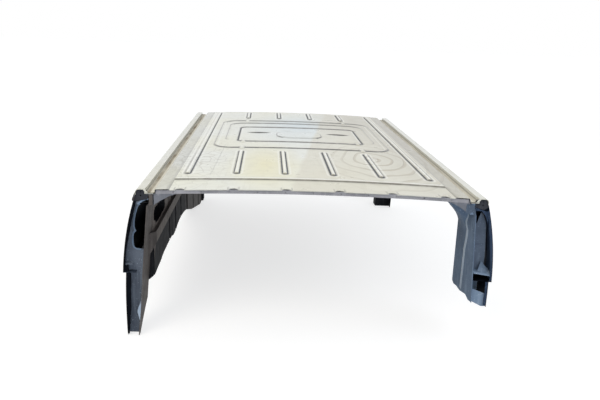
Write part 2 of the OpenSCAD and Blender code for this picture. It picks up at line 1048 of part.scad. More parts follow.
module liner_sheet(z_low, z_high) {
    translate([liner_x, front_y, z_low])
        linear_extrude(z_high - z_low)
            liner_plan();
}

// Closing sheet across the step between the leaning post and the upright liner
module liner_return(z_low, z_high) {
    along(liner_start_run, liner_start_run + sheet)
        intersection() {
            polygon([
                [post_x_at(0), stand_h], [liner_x + sheet, stand_h], [liner_x + sheet, cross_z],
                [post_x_at(stand_h) + post_wall, 0], [liner_x, 0], [liner_x, cross_z]
            ]);
            translate([cant_x, z_low])
                square([body_x - cant_x, z_high - z_low]);
        }
}

module upper_liner_left() {
    color("#33363a")
        mirrored(-1)
            difference() {
                union() {
                    liner_sheet(liner_split_z, cant_z);
                    liner_return(liner_split_z, cant_z);
                }
                across(liner_x - 10, liner_x + 10)
                    translate([(opening_start + opening_end) / 2, (opening_top_drop + opening_low_drop) / 2])
                        rounded_rect(opening_end - opening_start,
                            opening_low_drop - opening_top_drop, 30);
            }
}

module lower_liner_left() {
    color("#2f3236")
        mirrored(-1)
            difference() {
                union() {
                    liner_sheet(0, liner_split_z);
                    liner_return(0, liner_split_z);
                }
                left_cut_body();
            }
}

// Channel between the liner and the body side
module side_post_left(number) {
    mid = side_post_runs[number - 1];
    color("#3a3d41")
        mirrored(-1)
            difference() {
                along(mid - side_post_w / 2, mid + side_post_w / 2)
                    intersection() {
                        side_inside(liner_x + sheet, 100, cant_z);
                        translate([liner_x, 0])
                            square([140, cant_z]);
                    }
                translate([liner_x + 2 * sheet, run_y(mid - side_post_w / 2 + sheet), 0])
                    cube([200, side_post_w - 2 * sheet, stand_h]);
                left_cut_body();
            }
}

module side_post_left_1() {
    side_post_left(1);
}

module side_post_left_2() {
    side_post_left(2);
}

module side_post_left_3() {
    side_post_left(3);
}

module rear_post_profile() {
    side_inside(rear_post_x, 0, cant_z);
}

module rear_post(side) {
    color("#4a4e54")
        mirrored(side)
            difference() {
                along(roof_len - rear_post_w, roof_len - 4)
                    rear_post_profile();
                translate([rear_post_x + sheet, run_y(roof_len - rear_post_w + sheet), -1])
                    cube([200, rear_post_w - 4 - 2 * sheet, stand_h]);
            }
}

module rear_post_left() {
    rear_post(-1);
}

module rear_post_right() {
    rear_post(1);
}

roof_skin();
side_rail_left();
side_rail_right();
ditch_sealer_left();
ditch_sealer_right();
front_header();
header_gusset_left();
header_gusset_right();
roof_bow_front();
roof_bow_rear();
rear_header();
rail_end_cap_left();
rail_end_cap_right();
corner_bracket_left();
corner_bracket_right();
cant_rail_left();
cant_rail_right();
front_post_left();
front_post_right();
post_web_left();
post_web_right();
post_foot_right();
step_shelf_left();
step_shelf_right();
upper_skin_left();
lower_skin_left();
post_skin_right();
door_head_skin_right();
rear_skin_right();
waist_rail_left();
upper_liner_left();
lower_liner_left();
side_post_left_1();
side_post_left_2();
side_post_left_3();
rear_post_left();
rear_post_right();
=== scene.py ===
"""Looks of a sheet steel high roof that was cut from a panel van.

Lengths in the classes are millimetres in the frame of the part: X across, a run counted
from the cab end along Y, Z up from the floor.
"""

import logging
import math
import random
from dataclasses import dataclass
from enum import Enum
from typing import Callable

import bmesh
import bpy
import numpy as np
from mathutils import Matrix, Vector

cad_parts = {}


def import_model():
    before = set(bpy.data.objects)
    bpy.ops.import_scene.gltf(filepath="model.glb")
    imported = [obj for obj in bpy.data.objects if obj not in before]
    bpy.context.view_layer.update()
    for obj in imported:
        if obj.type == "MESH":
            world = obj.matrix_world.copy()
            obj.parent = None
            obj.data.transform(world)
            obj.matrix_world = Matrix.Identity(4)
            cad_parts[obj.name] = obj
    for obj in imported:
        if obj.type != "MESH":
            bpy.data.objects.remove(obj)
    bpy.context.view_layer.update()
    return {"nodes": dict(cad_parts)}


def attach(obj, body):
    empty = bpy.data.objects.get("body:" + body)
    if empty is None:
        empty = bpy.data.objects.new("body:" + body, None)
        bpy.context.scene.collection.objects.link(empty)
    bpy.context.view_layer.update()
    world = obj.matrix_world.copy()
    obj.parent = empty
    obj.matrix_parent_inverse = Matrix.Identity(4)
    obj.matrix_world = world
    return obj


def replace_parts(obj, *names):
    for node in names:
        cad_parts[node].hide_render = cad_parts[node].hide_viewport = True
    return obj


LOG = logging.getLogger("high_roof")
MM = 0.001
ROOF_LEN = 2550.0
STAND_H = 850.0
CROWN_R = 16513.4
# Columns of ribs, in rib pitches from the middle.
RIB_COLUMNS = (-2.5, -1.5, -0.5, 0.5, 1.5, 2.5)
# Runs of the liner's laps and of the middles of the roof bows.
LAP_RUNS = (780.0, 1440.0)
BOW_RUNS = (925.0, 2124.0)
Socket = bpy.types.NodeSocket
Tree = bpy.types.NodeTree
Point = tuple[float, float, float]
Outline = tuple[tuple[float, float], ...]


def linear(colour: str) -> tuple[float, float, float, float]:
    """Turns an sRGB hex colour into linear values.

    Args:
        colour: Six hex digits, with or without a leading hash.

    Returns:
        Red, green, blue and an alpha of one.
    """
    text = colour.lstrip("#")
    parts = []
    for i in (0, 2, 4):
        value = int(text[i : i + 2], 16) / 255.0
        parts.append(value / 12.92 if value <= 0.04045 else ((value + 0.055) / 1.055) ** 2.4)
    return (parts[0], parts[1], parts[2], 1.0)


def run_y(run: float) -> float:
    """Gives the Y in millimetres of a run from the cab end."""
    return run - ROOF_LEN / 2


def crown_z(x: np.ndarray | float, drop: float = 0.0) -> np.ndarray | float:
    """Gives the height of the crowned roof at x, lowered by a drop."""
    return STAND_H - drop - np.square(x) / (2 * CROWN_R)


def add_node(
    tree: Tree,
    kind: str,
    settings: dict[str | int, object] | None = None,
    links: dict[str | int, Socket] | None = None,
) -> bpy.types.Node:
    """Adds one shader node.

    Args:
        tree: The node tree that takes the node.
        kind: The node's type name without its ShaderNode prefix.
        settings: Attributes by name, or socket defaults by input name or number.
        links: Sockets to join to the node's inputs, by input name or number.

    Returns:
        The new node.
    """
    node = tree.nodes.new("ShaderNode" + kind)
    for key, value in (settings or {}).items():
        if isinstance(key, str) and hasattr(node, key):
            setattr(node, key, value)
        else:
            node.inputs[key].default_value = value
    for key, socket in (links or {}).items():
        tree.links.new(socket, node.inputs[key])
    return node


def ramp(
    tree: Tree, factor: Socket, stops: list[tuple[float, float]]
) -> Socket:
    """Adds a grey ramp.

    Args:
        tree: The node tree.
        factor: The value that drives the ramp.
        stops: Pairs of position and grey level.

    Returns:
        The ramp's output.
    """
    node = add_node(tree, "ValToRGB", links={0: factor})
    elements = node.color_ramp.elements
    while len(elements) < len(stops):
        elements.new(0.5)
    for element, (position, level) in zip(elements, stops):
        element.position = position
        element.color = (level, level, level, 1.0)
    return node.outputs[0]


def mix(
    tree: Tree,
    factor: Socket | float,
    first: Socket | tuple[float, float, float, float],
    second: Socket | tuple[float, float, float, float],
) -> Socket:
    """Mixes two colours.

    Args:
        tree: The node tree.
        factor: How much of the second colour shows.
        first: The colour below.
        second: The colour above.

    Returns:
        The mixed colour.
    """
    node = add_node(tree, "MixRGB")
    for key, value in (("Fac", factor), ("Color1", first), ("Color2", second)):
        if isinstance(value, Socket):
            tree.links.new(value, node.inputs[key])
        else:
            node.inputs[key].default_value = value
    return node.outputs[0]


def maths(
    tree: Tree,
    operation: str,
    first: Socket | float,
    second: Socket | float = 0.0,
) -> Socket:
    """Adds a maths node.

    Args:
        tree: The node tree.
        operation: Blender's name of the operation.
        first: The first value.
        second: The second value.

    Returns:
        The result, held between 0 and 1.
    """
    node = add_node(tree, "Math", {"operation": operation, "use_clamp": True})
    for i, value in enumerate((first, second)):
        if isinstance(value, Socket):
            tree.links.new(value, node.inputs[i])
        else:
            node.inputs[i].default_value = value
    return node.outputs[0]


def noise(
    tree: Tree,
    where: Socket,
    size_mm: float,
    detail: float = 3.0,
    distortion: float = 0.0,
    stretch: tuple[float, float, float] = (1.0, 1.0, 1.0),
) -> Socket:
    """Adds a noise whose blobs have a real size.

    Args:
        tree: The node tree.
        where: Coordinates in metres.
        size_mm: The size of one blob.
        detail: How many finer layers it has.
        distortion: How far it is swirled.
        stretch: How often it repeats along each axis, for streaks.

    Returns:
        The noise value.
    """
    mapped = add_node(tree, "Mapping", {"Scale": stretch}, {"Vector": where})
    node = add_node(
        tree,
        "TexNoise",
        {"Scale": 1000.0 / size_mm, "Detail": detail, "Distortion": distortion},
        {"Vector": mapped.outputs[0]},
    )
    return node.outputs[0]


def start_material(name: str) -> tuple[bpy.types.Material, Tree, bpy.types.Node]:
    """Makes a material with only a principled shader.

    Args:
        name: The material's name.

    Returns:
        The material, its tree and its shader.
    """
    material = bpy.data.materials.new(name)
    material.use_nodes = True
    tree = material.node_tree
    tree.nodes.clear()
    shader = add_node(tree, "BsdfPrincipled")
    add_node(tree, "OutputMaterial", links={"Surface": shader.outputs[0]})
    return material, tree, shader


@dataclass(frozen=True)
class RoofEnamel:
    """Cream body enamel, sprayed and baked.

    It reads as a pale warm skin with a clear gloss and soft patches of dust, with painted reflections of
    the surroundings as tinted zones, swirled bands and a net of thin lines, painted shade with grime along
    the pressed lines and painted highlights beside them.
    """

    name: str = "sprayed_body_enamel"
    cream: str = "#e4e6dc"
    # The warm yellow serves both the yellowed patches and a painted reflection; the cool blue is a painted
    # reflection.
    warm: str = "#e6e0b4"
    cool: str = "#cfdde2"
    dust: str = "#a9a38b"
    # Painted shade with grime in the pressed lines.
    shade_and_grime: str = "#3b3831"
    # Painted reflection: the swirled rims and bands, and the net of thin lines.
    swirl: str = "#857c66"
    band: str = "#ab9f82"
    # Painted highlight beside the pressed lines.
    painted_highlight: str = "#fdfdf6"
    # Darker patches towards the right edge.
    right_edge_grey: str = "#b9b4a0"
    # Painted reflection: the tan zone.
    tan: str = "#d3ceb8"
    ior: float = 1.5
    coat: float = 0.4
    coat_roughness: float = 0.08
    pressed: bool = True
    # Sizes of the patterns, chosen against the photograph and not measured: yellowed
    # patches, the dust film, rain streaks, breaks in the painted shade and grime, worn places and slack waves.
    patch_mm: float = 620.0
    film_mm: float = 60.0
    streak_mm: float = 16.0
    shade_and_grime_break_mm: float = 45.0
    worn_mm: float = 120.0
    canning_mm: float = 330.0
    # Orange peel is assumed to be 1 to 2 mm wide. It is drawn coarser, so that it shows.
    peel_mm: float = 3.5
    # Distance between the painted reflection's swirled bands, their wander and the cell width of its net of
    # thin lines.
    swirl_mm: float = 149.6
    wander_mm: float = 300.0
    branch_net_mm: float = 62.5

    def spot(
        self,
        tree: Tree,
        where: Socket,
        x: float,
        y: float,
        reach: tuple[float, float],
    ) -> Socket:
        """Makes a soft patch on the roof.

        Args:
            tree: The node tree.
            where: Coordinates in metres.
            x: X of its middle in metres.
            y: Y of its middle in metres.
            reach: Its half sizes along X and Y in metres.

        Returns:
            1 in the middle, 0 outside.
        """
        mapped = add_node(
            tree,
            "Mapping",
            {"Location": (-x / reach[0], -y / reach[1], 0.0), "Scale": (1 / reach[0], 1 / reach[1], 0.0)},
            {"Vector": where},
        )
        away = add_node(tree, "VectorMath", {"operation": "LENGTH"}, {0: mapped.outputs[0]})
        shifted = maths(tree, "MULTIPLY", away.outputs["Value"], 0.5)
        return ramp(tree, shifted, [(0.05, 1.0), (0.5, 0.0)])

    def zones(
        self, tree: Tree, where: Socket, colour: Socket
    ) -> Socket:
        """Lays painted reflections over the cream as yellow, blue and tan zones, swirled bands and thin lines.

        Args:
            tree: The node tree.
            where: Coordinates in metres.
            colour: The cream below.

        Returns:
            The zoned colour.
        """
        # Painted reflections: a yellow zone at the near left and a blue zone over the far middle.
        colour = mix(tree, self.spot(tree, where, -0.24, -0.75, (0.24, 0.7)), colour, linear(self.warm))
        colour = mix(tree, self.spot(tree, where, 0.02, 0.55, (0.45, 0.8)), colour, linear(self.cool))
        # Painted reflection: a tan zone right of a wavy line along the roof.
        place = add_node(tree, "SeparateXYZ", links={0: where})
        slope = add_node(
            tree, "Math", {"operation": "MULTIPLY_ADD", 1: -0.16, 2: -0.08}, {0: place.outputs[1]}
        ).outputs[0]
        line = add_node(tree, "Math", {"operation": "ADD"}, {0: place.outputs[0], 1: slope}).outputs[0]
        wander = noise(tree, where, self.wander_mm, 2.0)
        wavy = add_node(
            tree, "Math", {"operation": "MULTIPLY_ADD", 1: 0.05}, {0: wander, 2: line}
        ).outputs[0]
        tan = add_node(
            tree, "MapRange", {"From Min": 0.02, "From Max": 0.045, "To Max": 0.75}, {"Value": wavy}
        )
        colour = mix(tree, tan.outputs[0], colour, linear(self.tan))
        # Two darker patches towards the right edge and the far right.
        colour = mix(tree, self.spot(tree, where, 0.55, 1.0, (0.5, 1.1)), colour, linear(self.right_edge_grey))
        colour = mix(tree, self.spot(tree, where, 0.72, 0.2, (0.36, 1.9)), colour, linear(self.right_edge_grey))
        # Painted reflection: swirled bands with darker rims over the near right part.
        round_swirl = add_node(
            tree, "Mapping", {"Location": (-0.42, 0.35, 0.0), "Scale": (1.0, 0.62, 0.0)}, {"Vector": where}
        )
        rings = add_node(
            tree,
            "TexWave",
            {
                "wave_type": "RINGS",
                "rings_direction": "SPHERICAL",
                "Scale": 100.0 * math.pi / self.swirl_mm,
                "Distortion": 4.5,
                "Detail": 2.0,
                "Detail Scale": 1.1,
            },
            {"Vector": round_swirl.outputs[0]},
        )
        place_swirl = self.spot(tree, where, 0.5, -0.6, (0.46, 0.8))
        broad = ramp(tree, rings.outputs["Fac"], [(0.3, 0.0), (0.42, 0.85), (0.62, 0.85), (0.76, 0.0)])
        colour = mix(tree, maths(tree, "MULTIPLY", broad, place_swirl), colour, linear(self.band))
        rims = ramp(tree, rings.outputs["Fac"], [(0.3, 0.0), (0.38, 0.75), (0.46, 0.0), (0.6, 0.0)])
        colour = mix(tree, maths(tree, "MULTIPLY", rims, place_swirl), colour, linear(self.swirl))
        # Painted reflection: a net of thin lines at the near left.
        cells = {"feature": "DISTANCE_TO_EDGE", "Scale": 1000.0 / self.branch_net_mm}
        branch_net = add_node(tree, "TexVoronoi", cells, {"Vector": where})
        twigs = ramp(tree, branch_net.outputs["Distance"], [(0.0, 0.6), (0.07, 0.0)])
        place_twigs = self.spot(tree, where, -0.66, -0.62, (0.3, 0.8))
        return mix(tree, maths(tree, "MULTIPLY", twigs, place_twigs), colour, linear(self.swirl))

    def build(self) -> bpy.types.Material:
        """Makes the material.

        Returns:
            The enamel.
        """
        material, tree, shader = start_material(self.name)
        where = add_node(tree, "TexCoord").outputs["Object"]
        patches = ramp(tree, noise(tree, where, self.patch_mm, 2.0), [(0.42, 0.0), (0.62, 0.35)])
        colour = mix(tree, patches, linear(self.cream), linear(self.warm))
        if self.pressed:
            colour = self.zones(tree, where, colour)
        film = ramp(tree, noise(tree, where, self.film_mm, 8.0), [(0.5, 0.0), (0.78, 0.22)])
        colour = mix(tree, film, colour, linear(self.dust))
        drawn = noise(tree, where, self.streak_mm, 4.0, 0.0, (1.0, 0.08, 1.0))
        streak = ramp(tree, drawn, [(0.58, 0.0), (0.75, 0.16)])
        colour = mix(tree, streak, colour, linear(self.dust))
        if self.pressed:
            # Painted shade with grime along the pressed lines, broken up by noise.
            shade_and_grime = add_node(tree, "Attribute", {"attribute_name": "pressed_shade_and_grime"}).outputs["Fac"]
            broken = ramp(tree, noise(tree, where, self.shade_and_grime_break_mm, 5.0), [(0.25, 0.72), (0.55, 1.0)])
            # Painted highlights beside the pressed lines.
            painted_highlight = add_node(tree, "Attribute", {"attribute_name": "pressed_painted_highlight"}).outputs["Fac"]
            colour = mix(tree, painted_highlight, colour, linear(self.painted_highlight))
            colour = mix(tree, maths(tree, "MULTIPLY", shade_and_grime, broken), colour, linear(self.shade_and_grime))
        tree.links.new(colour, shader.inputs["Base Color"])
        worn = noise(tree, where, self.worn_mm, 6.0)
        rough = add_node(tree, "MapRange", {"To Min": 0.2, "To Max": 0.42}, {"Value": worn})
        tree.links.new(rough.outputs[0], shader.inputs["Roughness"])
        shader.inputs["IOR"].default_value = self.ior
        shader.inputs["Coat Weight"].default_value = self.coat
        shader.inputs["Coat Roughness"].default_value = self.coat_roughness
        slack = noise(tree, where, self.canning_mm, 1.0)
        canning = add_node(tree, "Bump", {"Strength": 0.5, "Distance": 0.004}, {"Height": slack})
        peel = add_node(
            tree,
            "Bump",
            {"Strength": 0.12, "Distance": 0.0003},
            {"Height": noise(tree, where, self.peel_mm, 2.0), "Normal": canning.outputs[0]},
        )
        tree.links.new(peel.outputs[0], shader.inputs["Normal"])
        return material


@dataclass(frozen=True)
class Primer:
    """Dip-coated primer on pressed steel.

    It reads as a thin satin film over steel: dust settles in it, runs streak down it,
    and rubbed places turn lighter.
    """

    name: str
    base: str
    rubbed: str
    soiled: str
    roughness: float = 0.46
    soil: float = 0.55
    streak: float = 0.35
    gloss: float = 0.06
    ior: float = 1.5
    # Sizes of the patterns: clouds of dust, runs of the dip, scuffs, dull places, waves.
    cloud_mm: float = 140.0
    run_mm: float = 22.0
    scuff_mm: float = 9.0
    dull_mm: float = 40.0
    wave_mm: float = 90.0
    # The primer's grit is assumed to be under 0.5 mm. It is drawn coarser, so that it shows.
    grit_mm: float = 2.5

    def build(self) -> bpy.types.Material:
        """Makes the material.

        Returns:
            The primer.
        """
        material, tree, shader = start_material(self.name)
        where = add_node(tree, "TexCoord").outputs["Object"]
        cloud = ramp(tree, noise(tree, where, self.cloud_mm, 6.0), [(0.35, 0.0), (0.68, 1.0)])
        colour = mix(tree, maths(tree, "MULTIPLY", cloud, self.soil), linear(self.base), linear(self.soiled))
        drawn = noise(tree, where, self.run_mm, 5.0, 0.2, (1.0, 1.0, 0.1))
        runs = ramp(tree, drawn, [(0.52, 0.0), (0.72, 1.0)])
        colour = mix(tree, maths(tree, "MULTIPLY", runs, self.streak), colour, linear(self.rubbed))
        scuffs = ramp(tree, noise(tree, where, self.scuff_mm, 8.0, 0.4), [(0.62, 0.0), (0.7, 0.7)])
        colour = mix(tree, scuffs, colour, linear(self.rubbed))
        tree.links.new(colour, shader.inputs["Base Color"])
        rough = add_node(
            tree,
            "MapRange",
            {"To Min": self.roughness - 0.12, "To Max": self.roughness + 0.2},
            {"Value": noise(tree, where, self.dull_mm, 6.0)},
        )
        tree.links.new(rough.outputs[0], shader.inputs["Roughness"])
        shader.inputs["IOR"].default_value = self.ior
        shader.inputs["Specular IOR Level"].default_value = self.gloss
        swell = noise(tree, where, self.wave_mm, 2.0)
        waves = add_node(tree, "Bump", {"Strength": 0.35, "Distance": 0.002}, {"Height": swell})
        grit = add_node(
            tree,
            "Bump",
            {"Strength": 0.2, "Distance": 0.0004},
            {"Height": noise(tree, where, self.grit_mm, 3.0), "Normal": waves.outputs[0]},
        )
        tree.links.new(grit.outputs[0], shader.inputs["Normal"])
        return material


@dataclass(frozen=True)
class SeamSealer:
    """Polyurethane seam sealer, brushed into the drain ditch.

    It reads as a dull tan rubber with brush strokes along the ditch and dirt on top.
    """

    name: str = "brushed_seam_sealer"
    base: str = "#dcd7c6"
    dirty: str = "#6f5f42"
    line: str = "#5f5a4c"
    roughness: float = 0.6
    ior: float = 1.48
    # Sizes of the patterns: the wander of the band, dirt patches and bristle marks. The
    # marks are assumed to be 1 to 2 mm apart and are drawn coarser, so that they show.
    wander_mm: float = 90.0
    dirt_mm: float = 70.0
    stroke_mm: float = 5.0

    def build(self) -> bpy.types.Material:
        """Makes the material.

        Returns:
            The sealer.
        """
        material, tree, shader = start_material(self.name)
        where = add_node(tree, "TexCoord").outputs["Object"]
        split = add_node(tree, "SeparateXYZ", links={0: where})
        across = maths(tree, "ABSOLUTE", split.outputs[0])
        wander = maths(tree, "MULTIPLY", noise(tree, where, self.wander_mm, 3.0, 0.0, (1.0, 0.3, 1.0)), 0.012)
        moved = maths(tree, "ADD", across, wander)
        placed = add_node(
            tree, "MapRange", {"From Min": 0.79, "From Max": 0.84}, {"Value": moved}
        ).outputs[0]
        band = ramp(tree, placed, [(0.5, 0.0), (0.6, 1.0), (0.86, 1.0), (0.96, 0.0)])
        left = add_node(
            tree,
            "MapRange",
            {"From Min": -0.1, "From Max": 0.1, "To Min": 1.0, "To Max": 0.45},
            {"Value": split.outputs[0]},
        )
        band = maths(tree, "MULTIPLY", band, left.outputs[0])
        dirt = noise(tree, where, self.dirt_mm, 6.0, 0.5, (1.0, 0.35, 1.0))
        soil = ramp(tree, dirt, [(0.3, 0.35), (0.66, 1.0)])
        colour = mix(tree, maths(tree, "MULTIPLY", soil, band), linear(self.base), linear(self.dirty))
        edge = ramp(tree, placed, [(0.1, 0.55), (0.17, 0.0), (0.9, 0.0), (0.98, 0.6)])
        colour = mix(tree, edge, colour, linear(self.line))
        tree.links.new(colour, shader.inputs["Base Color"])
        shader.inputs["Roughness"].default_value = self.roughness
        shader.inputs["IOR"].default_value = self.ior
        strokes = add_node(
            tree,
            "Bump",
            {"Strength": 0.6, "Distance": 0.0015},
            {"Height": noise(tree, where, self.stroke_mm, 3.0, 0.0, (1.0, 0.06, 1.0))},
        )
        tree.links.new(strokes.outputs[0], shader.inputs["Normal"])
        return material


@dataclass(frozen=True)
class GroundSteel:
    """Steel edge left by a grinding disc.

    It reads as a thin bright line with fine drag marks and the first specks of rust.
    """

    name: str = "ground_cut_steel"
    bright: str = "#8d9094"
    rust: str = "#6a4a35"
    roughness: float = 0.42
    # Rust specks.
    speck_mm: float = 12.0
    # The disc's drag marks are assumed to be under 0.5 mm. They are drawn coarser, to show.
    drag_mm: float = 1.6

    def build(self) -> bpy.types.Material:
        """Makes the material.

        Returns:
            The cut edge.
        """
        material, tree, shader = start_material(self.name)
        where = add_node(tree, "TexCoord").outputs["Object"]
        specks = ramp(tree, noise(tree, where, self.speck_mm, 6.0), [(0.48, 0.0), (0.62, 0.85)])
        colour = mix(tree, specks, linear(self.bright), linear(self.rust))
        tree.links.new(colour, shader.inputs["Base Color"])
        metal = add_node(tree, "MapRange", {"To Min": 0.9, "To Max": 0.15}, {"Value": specks})
        tree.links.new(metal.outputs[0], shader.inputs["Metallic"])
        shader.inputs["Roughness"].default_value = self.roughness
        drag = add_node(
            tree,
            "Bump",
            {"Strength": 0.5, "Distance": 0.0004},
            {"Height": noise(tree, where, self.drag_mm, 2.0, 0.0, (1.0, 0.2, 4.0))},
        )
        tree.links.new(drag.outputs[0], shader.inputs["Normal"])
        return material


class Coat(Enum):
    """The finishes of the part."""

    ENAMEL = RoofEnamel()
    RAIL = RoofEnamel(name="sprayed_rail_enamel", cream="#dcdcd2", warm="#d2cfba", pressed=False)
    BODY = RoofEnamel(name="sprayed_side_enamel", cream="#dfdfd4", warm="#d6d2ba", pressed=False, coat=0.5)
    SEALER = SeamSealer()
    MASTIC = Primer("pressed_mastic", "#1d1e1f", "#2c2d2e", "#101112", 0.6)
    STEEL = GroundSteel()
    HEADER = Primer("dipped_header_primer", "#ababb0", "#bababd", "#65666b", 0.42)
    GUSSET = Primer("dipped_gusset_primer", "#83868e", "#a3a7ae", "#565a61", 0.4)
    GREY = Primer("dipped_bow_primer", "#54575b", "#6f7275", "#33353a")
    UNDER = Primer("dipped_underside_primer", "#6d7073", "#85888a", "#4b4d50", 0.5)
    SLATE = Primer("dipped_slate_primer", "#7387a0", "#a0b4ca", "#4c5c70", 0.5, 0.5, 0.3)
    # Lighter slate as painted light on the shelf sheets and the right post's foot, and as a painted highlight
    # on the left web's rolled lip.
    SLATE_LIGHT = Primer("slate_primer_painted_light", "#8094ab", "#b0c1d3", "#5d6c7d", 0.5, 0.4, 0.3)
    SLATE_DARK = Primer("dipped_corner_primer", "#353d49", "#56616e", "#20262e", 0.35)
    # Pale slate as a painted highlight along the right post's crease and on the torn strip by the left post.
    CREASE = Primer("crease_primer_painted_highlight", "#b4c5d6", "#d3dee8", "#8a9aae", 0.25)
    WEB = Primer("dipped_web_primer", "#6b7481", "#9ca6b2", "#434a55", 0.5, 0.55, 0.3)
    PANEL = Primer("dipped_panel_primer", "#6f7c8d", "#9ba9ba", "#46515f", 0.5, 0.5, 0.3)
    STRIP = Primer("dipped_flange_primer", "#596778", "#8797a9", "#39434f", 0.5, 0.5, 0.3)
    BROWN = Primer("dipped_post_primer", "#5f5a57", "#827d79", "#3f3c3b", 0.5)
    BROWN_DARK = Primer("dipped_rail_primer", "#45413f", "#64605d", "#2c2a29", 0.5)
    BROWN_LIGHT = Primer("dipped_window_primer", "#736c67", "#918a84", "#4b4642", 0.5)
    # Near-black liner primer: its own dark tone, deepened as painted shade of the enclosed inner wall.
    DARK = Primer("liner_primer_with_painted_shade", "#28292c", "#45474a", "#141618", 0.55, gloss=0.03)
    # Near-black painted shade, for the insides of the skins and sheets in dark recesses.
    BLACK = Primer("shaded_inner_primer", "#0d1017", "#181d26", "#05070a", 0.6, gloss=0.03)
    # Mid slate for the same inner primer: painted light, lighter than the near-black shade, on the inside of
    # the right upper skin, its flange and the right closing sheet.
    INNER = Primer("inner_skin_primer_with_painted_light", "#34435a", "#56687f", "#222c3b", 0.42)
    BRACKET = Primer("dipped_bracket_primer", "#393b41", "#585b62", "#212327", 0.5)


class PaintShop:
    """Builds each finish once and hands it out."""

    def __init__(self) -> None:
        """Starts with no paint mixed."""
        self._mixed: dict[Coat, bpy.types.Material] = {}

    def coat(self, coat: Coat) -> bpy.types.Material:
        """Gives the material of a finish.

        Args:
            coat: The finish.

        Returns:
            The material.
        """
        if coat not in self._mixed:
            self._mixed[coat] = coat.value.build()
        return self._mixed[coat]

    def dress(self, node: bpy.types.Object, coat: Coat) -> None:
        """Puts a finish on every slot of a CAD node."""
        for slot in node.material_slots:
            slot.material = self.coat(coat)


class Joiner:
    """Turns points and faces into pieces that ride with the part."""

    def __init__(self, shop: PaintShop) -> None:
        """Keeps the paint shop at hand."""
        self.shop = shop

    def piece(
        self,
        name: str,
        points: np.ndarray | list[Point],
        faces: list[tuple[int, ...]] | np.ndarray,
        coat: Coat,
        slot: str,
        smooth: bool = True,
    ) -> bpy.types.Object:
        """Makes one mesh piece.

        Args:
            name: The piece's name.
            points: Corners in millimetres.
            faces: Corner numbers of each face.
            coat: The finish.
            slot: The material slot in the record; it is not used.
            smooth: Whether the faces are shaded smooth.

        Returns:
            The new object.
        """
        mesh = bpy.data.meshes.new(name)
        rows = np.asarray(points, dtype=float) * MM
        mesh.from_pydata([tuple(row) for row in rows], [], [tuple(int(i) for i in face) for face in faces])
        mesh.validate()
        mesh.polygons.foreach_set("use_smooth", [smooth] * len(mesh.polygons))
        mesh.materials.append(self.shop.coat(coat))
        mesh.update()
        thing = bpy.data.objects.new(name, mesh)
        bpy.context.scene.collection.objects.link(thing)
        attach(thing, "root")
        LOG.info("%s: %d faces", name, len(mesh.polygons))
        return thing

    def join(
        self, name: str, mesh: "MeshBuilder", coat: Coat, slot: str, smooth: bool = True
    ) -> bpy.types.Object:
        """Makes one mesh piece from a builder's points and faces.

        Args:
            name: The piece's name.
            mesh: The builder.
            coat: The finish.
            slot: The material slot in the record.
            smooth: Whether the faces are shaded smooth.

        Returns:
            The new object.
        """
        return self.piece(name, mesh.points, mesh.faces, coat, slot, smooth)


def grid_faces(columns: int, rows: int, flip: bool = False) -> list[tuple[int, int, int, int]]:
    """Lists the faces of a grid of points stored row by row.

    Args:
        columns: Points in a row.
        rows: Number of rows.
        flip: Whether the faces turn the other way.

    Returns:
        Four corner numbers for each face.
    """
    faces = []
    for j in range(rows - 1):
        for i in range(columns - 1):
            a = j * columns + i
            quad = (a, a + 1, a + columns + 1, a + columns)
            faces.append(quad[::-1] if flip else quad)
    return faces


def smooth_step(value: np.ndarray, low: float, high: float) -> np.ndarray:
    """Rises softly from 0 at low to 1 at high."""
    t = np.clip((value - low) / (high - low), 0.0, 1.0)
    return t * t * (3.0 - 2.0 * t)


def rect_distance(x: np.ndarray, y: np.ndarray, width: float, length: float, radius: float) -> np.ndarray:
    """Measures the distance outside a rounded rectangle.

    Args:
        x: X from its middle.
        y: Y from its middle.
        width: Its full width.
        length: Its full length.
        radius: Its corner radius.

    Returns:
        The distance, negative inside.
    """
    qx = np.abs(x) - (width / 2 - radius)
    qy = np.abs(y) - (length / 2 - radius)
    outside = np.hypot(np.maximum(qx, 0.0), np.maximum(qy, 0.0))
    return outside + np.minimum(np.maximum(qx, qy), 0.0) - radius


def bell(distance: np.ndarray, half: float) -> np.ndarray:
    """Gives a pressed bead's height, 1 in its middle and 0 from half on."""
    t = np.clip(np.abs(distance) / half, 0.0, 1.0)
    return np.square(1.0 - np.square(t))


